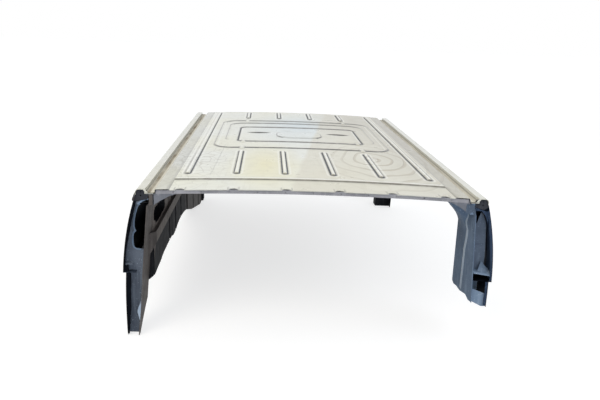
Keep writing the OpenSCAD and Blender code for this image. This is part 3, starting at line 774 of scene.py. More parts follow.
@dataclass
class RoofPressing:
    """The crowned, ribbed roof skin with its hatch field and ditch flanges."""

    joiner: Joiner
    field_half: float = 720.0
    strip_drop: float = 2.0
    flange_len: float = 202.0
    flange_drop: float = 5.0
    ditch_in: float = 790.0
    ditch_edge: float = 835.0
    ditch_z: float = 810.0
    rib_pitch: float = 267.0
    rib_half: float = 21.0
    rib_h: float = 8.98
    rib_start: float = 289.0
    rib_end: float = 879.0
    rear_start: float = 2170.0
    rear_end: float = 2500.0
    ring_mid: float = 1515.0
    groove_mid: float = 1470.0
    notch_r: float = 23.0
    gauge: float = 1.2
    ring_size: tuple[float, float, float] = (1190.0, 1080.0, 120.0)
    arch_size: tuple[float, float, float] = (1060.0, 750.0, 110.0)
    groove_size: tuple[float, float, float] = (900.0, 575.0, 60.0)
    pad_size: tuple[float, float, float] = (330.0, 240.0, 90.0)
    lens_x: float = 297.0
    lens_long: float = 172.0
    lens_half: float = 24.0
    bridge_x: float = 401.0
    bridge_half: float = 29.0
    bridges: tuple[float, ...] = (983.0, 1191.5, 2047.0)

    def ribs(self) -> list[Point]:
        """Lists the column, start and end of every rib, the inner ones broken by the hatch field.

        Returns:
            Each column, counted in rib pitches from the middle, with its start and end.
        """
        ribs = []
        for column in RIB_COLUMNS:
            if abs(column) < 2:
                ribs.append((column, self.rib_start, self.rib_end))
                ribs.append((column, self.rear_start, self.rear_end))
            else:
                ribs.append((column, self.rib_start, self.rear_end))
        return ribs

    def rim(
        self, x: np.ndarray, run: np.ndarray, width: float, length: float, radius: float
    ) -> tuple[np.ndarray, np.ndarray]:
        """Measures a rounded rectangle's rim.

        Args:
            x: X from its middle.
            run: Run from its middle.
            width: Its full width.
            length: Its full length.
            radius: Its corner radius.

        Returns:
            The distance outside the rim, and 1 where the rim runs across the van, 0 where along it.
        """
        away = rect_distance(x, run, width, length, radius)
        ahead = rect_distance(x, run + 1.0, width, length, radius)
        behind = rect_distance(x, run - 1.0, width, length, radius)
        return away, np.abs(ahead - behind) / 2.0

    def relief(self, x: np.ndarray, run: np.ndarray) -> tuple[np.ndarray, np.ndarray]:
        """Works out the pressed height and the painted shade with grime along it.

        Args:
            x: X of each point.
            run: Run of each point.

        Returns:
            The height over the plain crown, and the painted shade with grime from 0 to 1.
        """
        height = np.zeros_like(x)
        shade_and_grime = np.zeros_like(x)
        for column, start, end in self.ribs():
            inner = np.clip(run, start + 20, end - 20)
            away = np.hypot(x - column * self.rib_pitch, run - inner)
            rise = np.square(1.0 - smooth_step(away, 4.0, self.rib_half))
            height += self.rib_h * rise
            # Dark lines beside each rib: painted shade with grime, wider round the rib ends.
            across = np.abs(run - inner) / np.maximum(away, 1.0)
            line = (0.76 + 0.24 * across) * bell(away - 16.5, 8.5 + 5.0 * across)
            if abs(column) > 2:
                line *= 1.0 - 0.72 * smooth_step(run, 450.0, 1300.0)
            shade_and_grime = np.maximum(shade_and_grime, line)
        # Painted shade with grime along the rims below: wider where a rim runs across the van, wider still far
        # off.
        far = smooth_step(run, 1650.0, 1850.0)
        ring, across = self.rim(x, run - self.ring_mid, *self.ring_size)
        height += 4.0 * bell(ring + 8, 10)
        shade_and_grime = np.maximum(shade_and_grime, 0.95 * bell(ring + 1, 8.0 + (16.0 + 16.0 * far) * across))
        arch, across = self.rim(x, run - self.groove_mid - 90, *self.arch_size)
        open_end = smooth_step(run, 1215, 1290)
        height += 3.2 * bell(arch + 6, 8) * open_end
        line = (0.85 + 0.1 * far) * bell(arch, 7.0 + (12.0 + 22.0 * far) * across)
        shade_and_grime = np.maximum(shade_and_grime, line * open_end)
        groove, across = self.rim(x, run - self.groove_mid, *self.groove_size)
        height -= 6.0 * bell(groove + 9, 12)
        shade_and_grime = np.maximum(shade_and_grime, bell(groove + 9, 13.0 + (26.0 + 12.0 * far) * across))
        pad, across = self.rim(x, run - self.groove_mid + 20, *self.pad_size)
        fade = 1.0 - 0.7 * smooth_step(run, 1440, 1560)
        height += 4.0 * (1.0 - smooth_step(pad, -9, 1)) * fade
        shade_and_grime = np.maximum(shade_and_grime, bell(pad + 1, 6.5 + 12.0 * across) * fade)
        lens_r = (self.lens_long**2 / 4 + self.lens_half**2) / (2 * self.lens_half)
        for side in (-1, 1):
            dx = x - side * self.lens_x
            dy = run - self.groove_mid - 50
            ahead = np.hypot(dx, dy - lens_r + self.lens_half)
            lens = np.maximum(ahead, np.hypot(dx, dy + lens_r - self.lens_half)) - lens_r
            height -= 6.0 * (1.0 - smooth_step(lens, -12, 2))
            # The lens-shaped recess is filled dark as painted shade.
            shade_and_grime = np.maximum(shade_and_grime, 1.0 - smooth_step(lens, -3, 9))
            for mid in self.bridges:
                inner = np.clip(run, mid - self.bridge_half, mid + self.bridge_half)
                away = np.hypot(x - side * self.bridge_x, run - inner)
                lift = bell(away, 22)
                height = height * (1 - lift) + 5.0 * lift
                shade_and_grime = shade_and_grime * (1 - 0.95 * lift)
                shade_and_grime = np.maximum(shade_and_grime, 0.5 * bell(away - 20, 6))
        strip = smooth_step(np.abs(x), self.field_half - 1, self.field_half + 3)
        height -= self.strip_drop * strip
        # A dark line of painted shade along the step at the field's edge; the lower strips are drawn a little
        # darker.
        shade_and_grime = np.maximum(shade_and_grime, 0.75 * bell(np.abs(x) - self.field_half - 2, 5))
        shade_and_grime = np.maximum(shade_and_grime, 0.3 * strip)
        front = (1.0 - smooth_step(run, self.flange_len - 14, self.flange_len)) * (1 - strip)
        height -= self.flange_drop * front
        height += 2.4 * bell(run - self.flange_len - 8, 12) * (1 - strip)
        shade_and_grime = np.maximum(shade_and_grime, 0.95 * bell(run - self.flange_len + 10, 13) * (1 - strip))
        aside = np.abs(x) - self.field_half
        seam = bell(run - 118 - 0.1 * aside, 8) * smooth_step(aside, -4, 4)
        shade_and_grime = np.maximum(shade_and_grime, 0.9 * seam)
        # Short dark ticks beside each notch: painted shade of small embossed stubs.
        for column in RIB_COLUMNS:
            for half in (-27.0, 27.0):
                tick = bell(x - column * self.rib_pitch - half, 6) * (1.0 - smooth_step(run, 30, 62))
                shade_and_grime = np.maximum(shade_and_grime, 0.55 * tick)
        scratch = bell(x + 548 - 0.03 * run, 5) * smooth_step(run, 240, 300)
        scratch = scratch * (1 - smooth_step(run, 900, 1200))
        shade_and_grime = np.maximum(shade_and_grime, 0.35 * scratch)
        return height, shade_and_grime

    def painted_highlight(self, x: np.ndarray, run: np.ndarray) -> np.ndarray:
        """Works out the painted highlights along the pressed edges.

        Args:
            x: X of each point.
            run: Run of each point.

        Returns:
            The brightness from 0 to 1.
        """
        bright = 0.85 * bell(run - self.flange_len - 6, 12) * (1.0 - smooth_step(np.abs(x), 700, 722))
        for column, start, end in self.ribs():
            away = np.hypot(x - column * self.rib_pitch, run - np.clip(run, start + 20, end - 20))
            bright = np.maximum(bright, 0.8 * bell(away, 11))
            bright = np.maximum(bright, 0.55 * bell(away - 30, 7))
        rims = ((self.ring_size, self.ring_mid, 14), (self.groove_size, self.groove_mid, 16))
        for size, middle, reach in rims:
            away, across = self.rim(x, run - middle, *size)
            bright = np.maximum(bright, (0.4 + 0.4 * across) * bell(away + 8 + reach, 9))
        return bright

    def front_edge(self, x: np.ndarray) -> np.ndarray:
        """Gives the run of the notched cab end edge at each x.

        Args:
            x: X of each point.

        Returns:
            The runs, 0 away from the notches.
        """
        edge = np.zeros_like(x)
        for column in RIB_COLUMNS:
            away = np.abs(x - column * self.rib_pitch)
            edge = np.maximum(edge, np.sqrt(np.maximum(self.notch_r**2 - away**2, 0.0)))
        return edge

    def lines_x(self, step: float) -> np.ndarray:
        """Lists the X of the grid lines between the two ditch walls.

        Args:
            step: Distance between them.

        Returns:
            The X values from left to right.
        """
        half = list(np.arange(0.0, self.field_half - 5, step))[1:]
        half += [self.field_half + aside for aside in (-4.0, -1.0, 1.0, 4.0, 20.0, 45.0, 63.0)]
        return np.array([-v for v in reversed(half)] + [0.0] + half)

    def lines_run(self, fine: float, coarse: float) -> np.ndarray:
        """Lists the runs of the grid lines, close where something is pressed.

        Args:
            fine: Distance near pressed forms.
            coarse: Distance elsewhere.

        Returns:
            The runs from the cab end on.
        """
        marks = [(0.0, 60.0), (186.0, 214.0), (276.0, 330.0), (840.0, 1320.0), (1360.0, 1780.0)]
        marks += [(1870.0, 1950.0), (1990.0, 2080.0), (2150.0, 2220.0), (2460.0, 2510.0)]
        lines = [0.0]
        while lines[-1] < ROOF_LEN - 1e-6:
            here = lines[-1]
            dense = any(low - 1 <= here < high for low, high in marks)
            ahead = here + (fine if dense else coarse)
            for low, _ in marks:
                if here < low < ahead:
                    ahead = low
            lines.append(min(ahead, ROOF_LEN))
        return np.array(lines)

    def edge_profile(self) -> list[tuple[float, float]]:
        """Lists X and Z of the strip's edge, the ditch wall and the ditch floor.

        Returns:
            Pairs of X and Z from the strip outwards.
        """
        top = float(crown_z(self.ditch_in, self.strip_drop))
        return [
            (self.ditch_in - 3.0, top - 0.1),
            (self.ditch_in - 1.0, top - 1.1),
            (self.ditch_in, top - 4.0),
            (self.ditch_in, self.ditch_z + 4.0),
            (self.ditch_in + 1.2, self.ditch_z + 1.2),
            (self.ditch_in + 4.0, self.ditch_z + 0.2),
            (self.ditch_edge, self.ditch_z),
        ]

    def surface(
        self, step: float, fine: float, coarse: float, sink: float
    ) -> tuple[np.ndarray, np.ndarray, np.ndarray, int]:
        """Builds the points of one face of the skin.

        Args:
            step: Distance between lines across the roof.
            fine: Distance between lines along it near pressed forms.
            coarse: Distance between lines along it elsewhere.
            sink: How far the face lies under the top.

        Returns:
            The points, the painted shade with grime and the painted highlight of each, and points per row.
        """
        xs = self.lines_x(step)
        runs = self.lines_run(fine, coarse)
        grid_x, grid_run = np.meshgrid(xs, runs)
        pulled = np.clip(1.0 - grid_run / 60.0, 0.0, 1.0)
        grid_run = grid_run + self.front_edge(grid_x) * pulled
        height, shade_and_grime = self.relief(grid_x, grid_run)
        grid_z = crown_z(grid_x) + height - sink
        edge = self.edge_profile()
        count = len(runs)
        wings = []
        for side in (-1, 1):
            ex = np.array([side * (p[0] - (sink if p[0] < self.ditch_in + 2 else 0)) for p in edge])
            ez = np.array([p[1] - sink for p in edge])
            wings.append((np.tile(ex, (count, 1)), np.tile(ez, (count, 1))))
        left_x, left_z = wings[0][0][:, ::-1], wings[0][1][:, ::-1]
        right_x, right_z = wings[1]
        all_x = np.hstack([left_x, grid_x, right_x])
        all_z = np.hstack([left_z, grid_z, right_z])
        plain = np.tile(runs[:, None], (1, left_x.shape[1]))
        all_run = np.hstack([plain, grid_run, plain])
        # The ditch's inner wall and its top edge are drawn darker.
        corner = np.tile(np.array([0.3, 0.35, 0.5, 0.35, 0.0, 0.0, 0.0]), (count, 1))
        all_shade_and_grime = np.hstack([corner[:, ::-1], shade_and_grime, corner])
        dull = np.zeros_like(corner)
        all_painted_highlight = np.hstack([dull, self.painted_highlight(grid_x, grid_run), dull])
        points = np.stack([all_x, all_run - ROOF_LEN / 2, all_z], axis=-1).reshape(-1, 3)
        return points, all_shade_and_grime.reshape(-1), all_painted_highlight.reshape(-1), all_x.shape[1]

    def build(self) -> None:
        """Builds the top, the underside and the folded cab end lip."""
        points, shade_and_grime, painted_highlight, columns = self.surface(5.3, 5.3, 24.0, 0.0)
        top = self.joiner.piece(
            "roof_skin_top", points, grid_faces(columns, len(points) // columns), Coat.ENAMEL, "roof_paint"
        )
        for label, values in (("pressed_shade_and_grime", shade_and_grime), ("pressed_painted_highlight", painted_highlight)):
            layer = top.data.attributes.new(label, "FLOAT", "POINT")
            layer.data.foreach_set("value", values)
        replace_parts(top, "roof_skin")
        below, _, _, columns = self.surface(14.0, 14.0, 60.0, self.gauge)
        under = self.joiner.piece(
            "roof_skin_underside",
            below,
            grid_faces(columns, len(below) // columns, flip=True),
            Coat.UNDER,
            "roof_paint",
        )
        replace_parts(under, "roof_skin")
        self.build_lip()

    def build_lip(self) -> None:
        """Builds the short lip that turns down along the notched edge."""
        reach = self.field_half - 4.0
        xs = np.arange(-reach, reach + 0.1, 4.0)
        edge = self.front_edge(xs)
        height, _ = self.relief(xs, edge)
        top = crown_z(xs) + height
        rows = []
        for drop, back in ((0.0, 0.0), (1.5, 0.0), (5.0, 0.6), (5.2, 1.8), (1.4, 2.0)):
            rows.append(np.stack([xs, run_y(0) + edge + back + 0.05, top - drop], axis=-1))
        points = np.concatenate(rows)
        lip = self.joiner.piece(
            "roof_skin_lip", points, grid_faces(len(xs), len(rows), flip=True), Coat.RAIL, "roof_paint"
        )
        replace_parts(lip, "roof_skin")


@dataclass
class DitchSeams:
    """Sealer brushed along both drain ditches."""

    joiner: Joiner
    wall_x: float = 790.4
    rail_x: float = 837.8
    floor_z: float = 810.1
    step: float = 18.0
    seed: int = 7

    def build(self) -> None:
        """Builds one soft strip of sealer for each ditch."""
        for side, name in ((-1, "left"), (1, "right")):
            rng = np.random.default_rng(self.seed + side)
            runs = np.arange(3.0, ROOF_LEN + 0.1, self.step)
            wander = np.convolve(rng.normal(0.0, 1.0, len(runs) + 8), np.ones(9) / 9, "valid")
            rows = []
            for run, drift in zip(runs, wander):
                shape = [
                    (self.wall_x, 5.2 + drift),
                    (self.wall_x + 2.0, 3.0 + 0.5 * drift),
                    (self.wall_x + 8.0, 1.6),
                    (self.wall_x + 22.0, 1.0 + 0.4 * drift),
                    (self.rail_x - 8.0, 1.9),
                    (self.rail_x - 2.0, 3.6 - 0.5 * drift),
                    (self.rail_x, 6.0 - drift),
                ]
                rows.append([(side * x, run_y(run), self.floor_z + z) for x, z in shape])
            points = np.array(rows).reshape(-1, 3)
            strip = self.joiner.piece(
                f"ditch_sealer_bead_{name}",
                points,
                grid_faces(7, len(runs), flip=side < 0),
                Coat.SEALER,
                "seam_sealer",
            )
            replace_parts(strip, f"ditch_sealer_{name}")


class MeshBuilder:
    """Collects points and faces of one piece before it is made."""

    def __init__(self) -> None:
        """Starts empty."""
        self.points: list[Point] = []
        self.faces: list[tuple[int, ...]] = []

    def add(self, points: list[Point], faces: list[tuple[int, ...]]) -> None:
        """Adds points and the faces that join them.

        Args:
            points: Corners in millimetres.
            faces: Corner numbers counted from the first of these points.
        """
        base = len(self.points)
        self.points.extend(points)
        self.faces.extend(tuple(base + i for i in face) for face in faces)

    def grid(self, rows: list[list[Point]], flip: bool = False) -> None:
        """Adds a grid of points given row by row."""
        flat = [point for row in rows for point in row]
        self.add(flat, grid_faces(len(rows[0]), len(rows), flip=flip))

    def box(self, low: Point, high: Point) -> None:
        """Adds a plain sheet metal box between two corners.

        Args:
            low: Its lowest corner.
            high: Its highest corner.
        """
        (ax, ay, az), (bx, by, bz) = low, high
        points = [
            (ax, ay, az), (bx, ay, az), (bx, by, az), (ax, by, az),
            (ax, ay, bz), (bx, ay, bz), (bx, by, bz), (ax, by, bz),
        ]
        faces = [(0, 3, 2, 1), (4, 5, 6, 7), (0, 1, 5, 4), (1, 2, 6, 5), (2, 3, 7, 6), (3, 0, 4, 7)]
        self.add(points, faces)

    def dome(
        self, place: Point, normal: Vector, radius: float, height: float, sides: int = 10
    ) -> None:
        """Adds a small round weld or stud head.

        Args:
            place: Middle of its foot.
            normal: Direction it faces.
            radius: Radius of its foot.
            height: How far it stands up, negative for a dimple ring.
            sides: Number of sides.
        """
        axis = normal.normalized()
        side = axis.orthogonal().normalized()
        other = axis.cross(side)
        rings = ((1.0, 0.0), (0.72, 0.8), (0.4, 1.0 if height > 0 else 0.2))
        centre = Vector(place)
        points = []
        for scale, lift in rings:
            for i in range(sides):
                turn = 2 * math.pi * i / sides
                away = (side * math.cos(turn) + other * math.sin(turn)) * radius * scale
                points.append(tuple(centre + away + axis * abs(height) * lift))
        faces = []
        for ring in range(2):
            for i in range(sides):
                j = (i + 1) % sides
                a, b = ring * sides, (ring + 1) * sides
                faces.append((a + i, a + j, b + j, b + i))
        faces.append(tuple(2 * sides + i for i in range(sides)))
        self.add(points, faces)


def plate_faces(
    outline: list[tuple[float, float]],
    holes: list[list[tuple[float, float]]],
    run: float,
    gauge: float,
    mirror: int,
) -> tuple[list[Point], list[tuple[int, ...]]]:
    """Cuts an upright sheet across the van with holes in it.

    Args:
        outline: X and Z of its corners.
        holes: X and Z of each hole's corners.
        run: Run of its near face.
        gauge: Thickness.
        mirror: 1 for the right side, -1 for the left.

    Returns:
        Points and faces.
    """
    cut = bmesh.new()
    loops = []
    for loop in [outline] + holes:
        corners = [cut.verts.new((mirror * x, run_y(run), z)) for x, z in loop]
        edges = [cut.edges.new((corners[i], corners[(i + 1) % len(corners)])) for i in range(len(corners))]
        loops.append((corners, edges))
    rims = [edge for _, edges in loops for edge in edges]
    bmesh.ops.triangle_fill(cut, use_beauty=True, use_dissolve=False, edges=rims)
    bmesh.ops.recalc_face_normals(cut, faces=cut.faces)
    if cut.faces and sum(face.normal.y * face.calc_area() for face in cut.faces) > 0:
        bmesh.ops.reverse_faces(cut, faces=cut.faces)
    cut.verts.index_update()
    count = len(cut.verts)
    points = [tuple(v.co) for v in cut.verts]
    points += [(x, y + gauge, z) for x, y, z in points]
    faces = [tuple(v.index for v in face.verts) for face in cut.faces]
    faces += [tuple(count + i for i in reversed(face)) for face in list(faces)]
    for corners, _ in loops:
        for i, corner in enumerate(corners):
            a, b = corner.index, corners[(i + 1) % len(corners)].index
            faces.append((a, b, count + b, count + a))
    cut.free()
    return points, faces


def rounded(points: list[tuple[float, float]], radius: float, steps: int = 5) -> list[tuple[float, float]]:
    """Rounds the corners of an outline.

    Args:
        points: Its corners.
        radius: Radius at each corner.
        steps: Points in each round.

    Returns:
        The rounded outline.
    """
    result = []
    count = len(points)
    for i, (x, z) in enumerate(points):
        before = Vector((points[i - 1][0] - x, points[i - 1][1] - z))
        after = Vector((points[(i + 1) % count][0] - x, points[(i + 1) % count][1] - z))
        cut = min(radius, 0.45 * before.length, 0.45 * after.length)
        start = Vector((x, z)) + before.normalized() * cut
        end = Vector((x, z)) + after.normalized() * cut
        for k in range(steps):
            t = k / (steps - 1)
            spot = start.lerp(Vector((x, z)), t).lerp(Vector((x, z)).lerp(end, t), t)
            result.append((spot.x, spot.y))
    return result


@dataclass(frozen=True)
class Arc:
    """Bulged line of the body side between two heights."""

    top: tuple[float, float]
    low: tuple[float, float]
    bulge: float

    def x_at(self, z: float) -> float:
        """Gives X at a height.

        Args:
            z: The height.

        Returns:
            X on the bulged line.
        """
        top, low = Vector(self.top), Vector(self.low)
        chord = (top - low).length
        radius = (chord**2 / 4 + self.bulge**2) / (2 * self.bulge)
        out = Vector((top.y - low.y, low.x - top.x)) / chord
        middle = (top + low) / 2 + out * (self.bulge - radius)
        return middle.x + math.sqrt(max(radius**2 - (z - middle.y) ** 2, 0.0))


@dataclass(frozen=True)
class PostLines:
    """Lines of the front posts, whose inner faces lean outwards."""

    top_x: float = 829.0
    top_drop: float = 78.0
    lean: float = 71.0 / 772.0

    def post_x(self, drop: float) -> float:
        """Gives X of a post's inner face at a drop."""
        return self.top_x + self.lean * (drop - self.top_drop)

    def crease(self, drop: float) -> float:
        """Gives the run of the crease in the right post at a drop."""
        return 100.0 + 85.0 * drop / 631.0

    def rear(self, drop: float) -> float:
        """Gives the run of the rear edge of the right post at a drop."""
        return 270.0 + 74.0 * (drop - 100.0) / 531.0


POSTS = PostLines()
UPPER = Arc((890.0, 798.0), (970.0, 372.0), 14.0)
LOWER = Arc((954.0, 372.0), (962.0, 0.0), 4.0)
STEP_Z = 372.0
LEFT_CUT = (
    (0.0, 850.0), (33.0, 850.0), (75.0, 804.0), (143.0, 742.0), (187.0, 712.0), (187.2, 636.0),
    (213.0, 602.0), (240.0, 572.0), (320.0, 550.0), (322.0, 564.0), (765.0, 556.0), (767.0, 572.0),
    (1020.0, 564.0), (1350.0, 576.0), (1442.0, 604.0), (1749.0, 704.0), (2083.0, 786.0),
    (2340.0, 850.0), (2550.0, 850.0),
)
RIGHT_CUT = (
    (0.0, 602.0), (14.0, 602.0), (50.0, 609.0), (94.0, 598.0), (128.0, 606.0), (165.0, 615.0),
    (217.0, 631.0), (265.0, 630.0), (318.0, 640.0), (345.0, 626.0),
)


def cut_z(cut: Outline, run: float, below: float = 0.0) -> float:
    """Gives the height of a grinder cut at a run.

    Args:
        cut: Runs and drops along the cut.
        run: The run.
        below: How much lower the cut lies.

    Returns:
        The height, never under the floor.
    """
    runs = [p[0] for p in cut]
    drops = [p[1] for p in cut]
    return max(STAND_H - float(np.interp(run, runs, drops)) - below, 0.0)


def left_cut(run: float) -> float:
    """Gives the height of the cut in the left side at a run."""
    return cut_z(LEFT_CUT, run)


def right_cut(run: float) -> float:
    """Gives the height of the cut in the right side at a run."""
    return cut_z(RIGHT_CUT, run, 24.0)


def level(height: float) -> Callable[[float], float]:
    """Makes a lower edge that keeps one height.

    Args:
        height: The height.

    Returns:
        A function of the run.
    """

    def edge(_run: float) -> float:
        """Gives the same height at every run."""
        return height

    return edge


@dataclass
class BodySide:
    """Outer skins of the body side: painted outside, primed inside with the primer drawn as painted shade and
    painted light, cut off with a grinder.
    """

    joiner: Joiner
    gauge: float = 1.2
    rail_low_z: float = 798.0
    step: float = 26.0
    outer_inset: float = 0.08
    post_end: float = 270.0
    rear_start: float = 2400.0
    head_z: float = 738.0
    seed: int = 21

    def heights(self, low: float, high: float, count: int) -> list[float]:
        """Lists heights from high to low."""
        return [high + (low - high) * i / count for i in range(count + 1)]

    def sheet(
        self,
        name: str,
        node: str,
        mirror: int,
        arc: Arc,
        span: tuple[float, float],
        top: float,
        low: Callable[[float], float],
        rough: float,
    ) -> None:
        """Builds the outer face, inner face and cut edge of one skin.

        Args:
            name: First part of their names.
            node: The CAD node they stand for.
            mirror: 1 for the right side, -1 for the left.
            arc: Bulged line of the skin.
            span: Runs it starts and ends at.
            top: Height of its upper edge.
            low: Function of the run that gives its lower edge.
            rough: Height of the teeth the grinder left.
        """
        rng = random.Random(self.seed + len(name))
        fine = 7.0 if rough > 0 else self.step
        count = max(2, round((span[1] - span[0]) / fine))
        runs = [span[0] + (span[1] - span[0]) * i / count for i in range(count + 1)]
        bottoms = [min(low(run) + rng.random() * rough, top - 2.0) for run in runs]
        skins = []
        for inset in (self.outer_inset, self.gauge):
            rows = []
            for run, bottom in zip(runs, bottoms):
                row = []
                for z in self.heights(bottom, top, 10):
                    wave = 0.0
                    if inset == self.outer_inset:
                        wave = 0.25 * (1 + math.sin(run * 0.011 + z * 0.017))
                    row.append((mirror * (arc.x_at(z) - inset - wave), run_y(run), z))
                rows.append(row)
            skins.append(rows)
        outside = MeshBuilder()
        outside.grid(skins[0], flip=mirror > 0)
        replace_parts(self.joiner.join(f"{name}_outside", outside, Coat.BODY, "body_paint"), node)
        inside = MeshBuilder()
        inside.grid(skins[1], flip=mirror < 0)
        # The inside of the skins is one primer: near black as painted shade, and mid slate on the right upper
        # skin as painted light.
        inner = Coat.INNER if mirror > 0 and arc is UPPER else Coat.BLACK
        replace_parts(self.joiner.join(f"{name}_inside", inside, inner, "black_primer"), node)
        edge = MeshBuilder()
        edge.grid([[row[-1] for row in skins[0]], [row[-1] for row in skins[1]]], flip=mirror < 0)
        for end in (0, -1):
            edge.grid([skins[0][end], skins[1][end]], flip=(end == 0) == (mirror > 0))
        edge.grid([[row[0] for row in skins[0]], [row[0] for row in skins[1]]], flip=mirror > 0)
        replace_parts(self.joiner.join(f"{name}_cut_edge", edge, Coat.STEEL, "body_paint", smooth=False), node)

    def build(self) -> None:
        """Builds every skin of both sides."""
        low, top = level(STEP_Z + 3.0), self.rail_low_z
        post, rear = (0, self.post_end), (self.rear_start, ROOF_LEN)
        whole = (0, ROOF_LEN)
        plan = (
            ("upper_skin_left", "upper_skin_left", -1, UPPER, whole, top, low, 0.0),
            ("lower_skin_left", "lower_skin_left", -1, LOWER, whole, STEP_Z, left_cut, 3.0),
            ("post_skin_right_upper", "post_skin_right", 1, UPPER, post, top, low, 0.0),
            ("post_skin_right_lower", "post_skin_right", 1, LOWER, post, STEP_Z, right_cut, 3.0),
            (
                "door_head_skin", "door_head_skin_right", 1, UPPER, (self.post_end, self.rear_start), top,
                level(self.head_z), 0.0,
            ),
            ("rear_skin_right_upper", "rear_skin_right", 1, UPPER, rear, top, low, 0.0),
            ("rear_skin_right_lower", "rear_skin_right", 1, LOWER, rear, STEP_Z, level(0.0), 0.0),
        )
        for name, node, mirror, arc, span, high, lower, rough in plan:
            self.sheet(name, node, mirror, arc, span, high, lower, rough)
        strip = MeshBuilder()
        strip.box((942.0, run_y(self.rear_start), STEP_Z), (969.8, run_y(ROOF_LEN), STEP_Z + 2.9))
        made = self.joiner.join("rear_step_strip_right", strip, Coat.BODY, "body_paint", False)
        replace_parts(made, "rear_skin_right")


@dataclass
class CornerHardware:
    """Dark bracket plates that close the rail ends, with their two holes."""

    joiner: Joiner
    holes: Outline = ((862.5, 812.0), (862.5, 794.0))
    hole_r: float = 3.5
    gauge: float = 2.0
    plate_run: float = 6.9
    left_plate: Outline = (
        (833.5, 824.5), (878.0, 824.5), (889.0, 812.0), (894.0, 803.0), (907.0, 771.5), (904.0, 763.0),
        (828.0, 773.0), (822.0, 804.5),
    )
    right_plate: Outline = (
        (831.5, 824.5), (877.0, 823.0), (891.0, 800.0), (891.0, 782.0), (871.0, 769.5), (823.0, 783.5),
        (821.0, 815.5),
    )
    left_closing: Outline = (
        (823.0, 779.0), (892.0, 758.5), (903.5, 744.0), (876.0, 744.0), (866.0, 753.0), (851.0, 764.0),
        (838.0, 770.0), (823.0, 773.0),
    )
    right_closing: Outline = (
        (823.0, 782.0), (897.0, 757.0), (903.5, 744.0), (903.0, 695.0), (892.0, 723.0), (880.0, 743.0),
        (862.0, 762.0), (823.0, 764.0),
    )

    def build(self) -> None:
        """Builds a bracket plate, its lip and the closing sheet under it on both sides."""
        for side, name in ((-1, "left"), (1, "right")):
            outline = rounded(list(self.left_plate if side < 0 else self.right_plate), 6.0)
            turns = [2 * math.pi * i / 14 for i in range(14)]
            circles = [
                [(x + self.hole_r * math.cos(t), z + self.hole_r * math.sin(t)) for t in turns]
                for x, z in self.holes
            ]
            plate = MeshBuilder()
            plate.add(*plate_faces(outline, circles, self.plate_run, self.gauge, side))
            made = self.joiner.join(
                f"corner_bracket_plate_{name}", plate, Coat.BRACKET, "black_primer", False
            )
            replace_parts(made, f"corner_bracket_{name}")
            lip = MeshBuilder()
            rows = []
            for x, z in outline + outline[:1]:
                inward = Vector((860.0 - x, 795.0 - z)).normalized()
                rows.append(
                    [
                        (side * (x + inward.x * d), run_y(self.plate_run - h), z + inward.y * d)
                        for d, h in ((-0.4, 0.0), (0.4, 2.2), (2.4, 2.4), (4.6, 0.0))
                    ]
                )
            lip.grid(rows, flip=side < 0)
            made = self.joiner.join(f"corner_bracket_rim_{name}", lip, Coat.BRACKET, "black_primer")
            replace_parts(made, f"corner_bracket_{name}")
            closing = MeshBuilder()
            low = self.left_closing if side < 0 else self.right_closing
            closing.add(*plate_faces(list(low), [], 8.4, 1.5, side))
            coat = Coat.WEB if side < 0 else Coat.INNER
            made = self.joiner.join(f"corner_sheet_{name}", closing, coat, "slate_primer", False)
            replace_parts(made, f"corner_bracket_{name}")


@dataclass
class WeldRow:
    """A row of spot welds between two points in the frame of the part."""

    start: Point
    end: Point
    normal: Point
    pitch: float = 38.0
    radius: float = 3.0
    height: float = -0.35


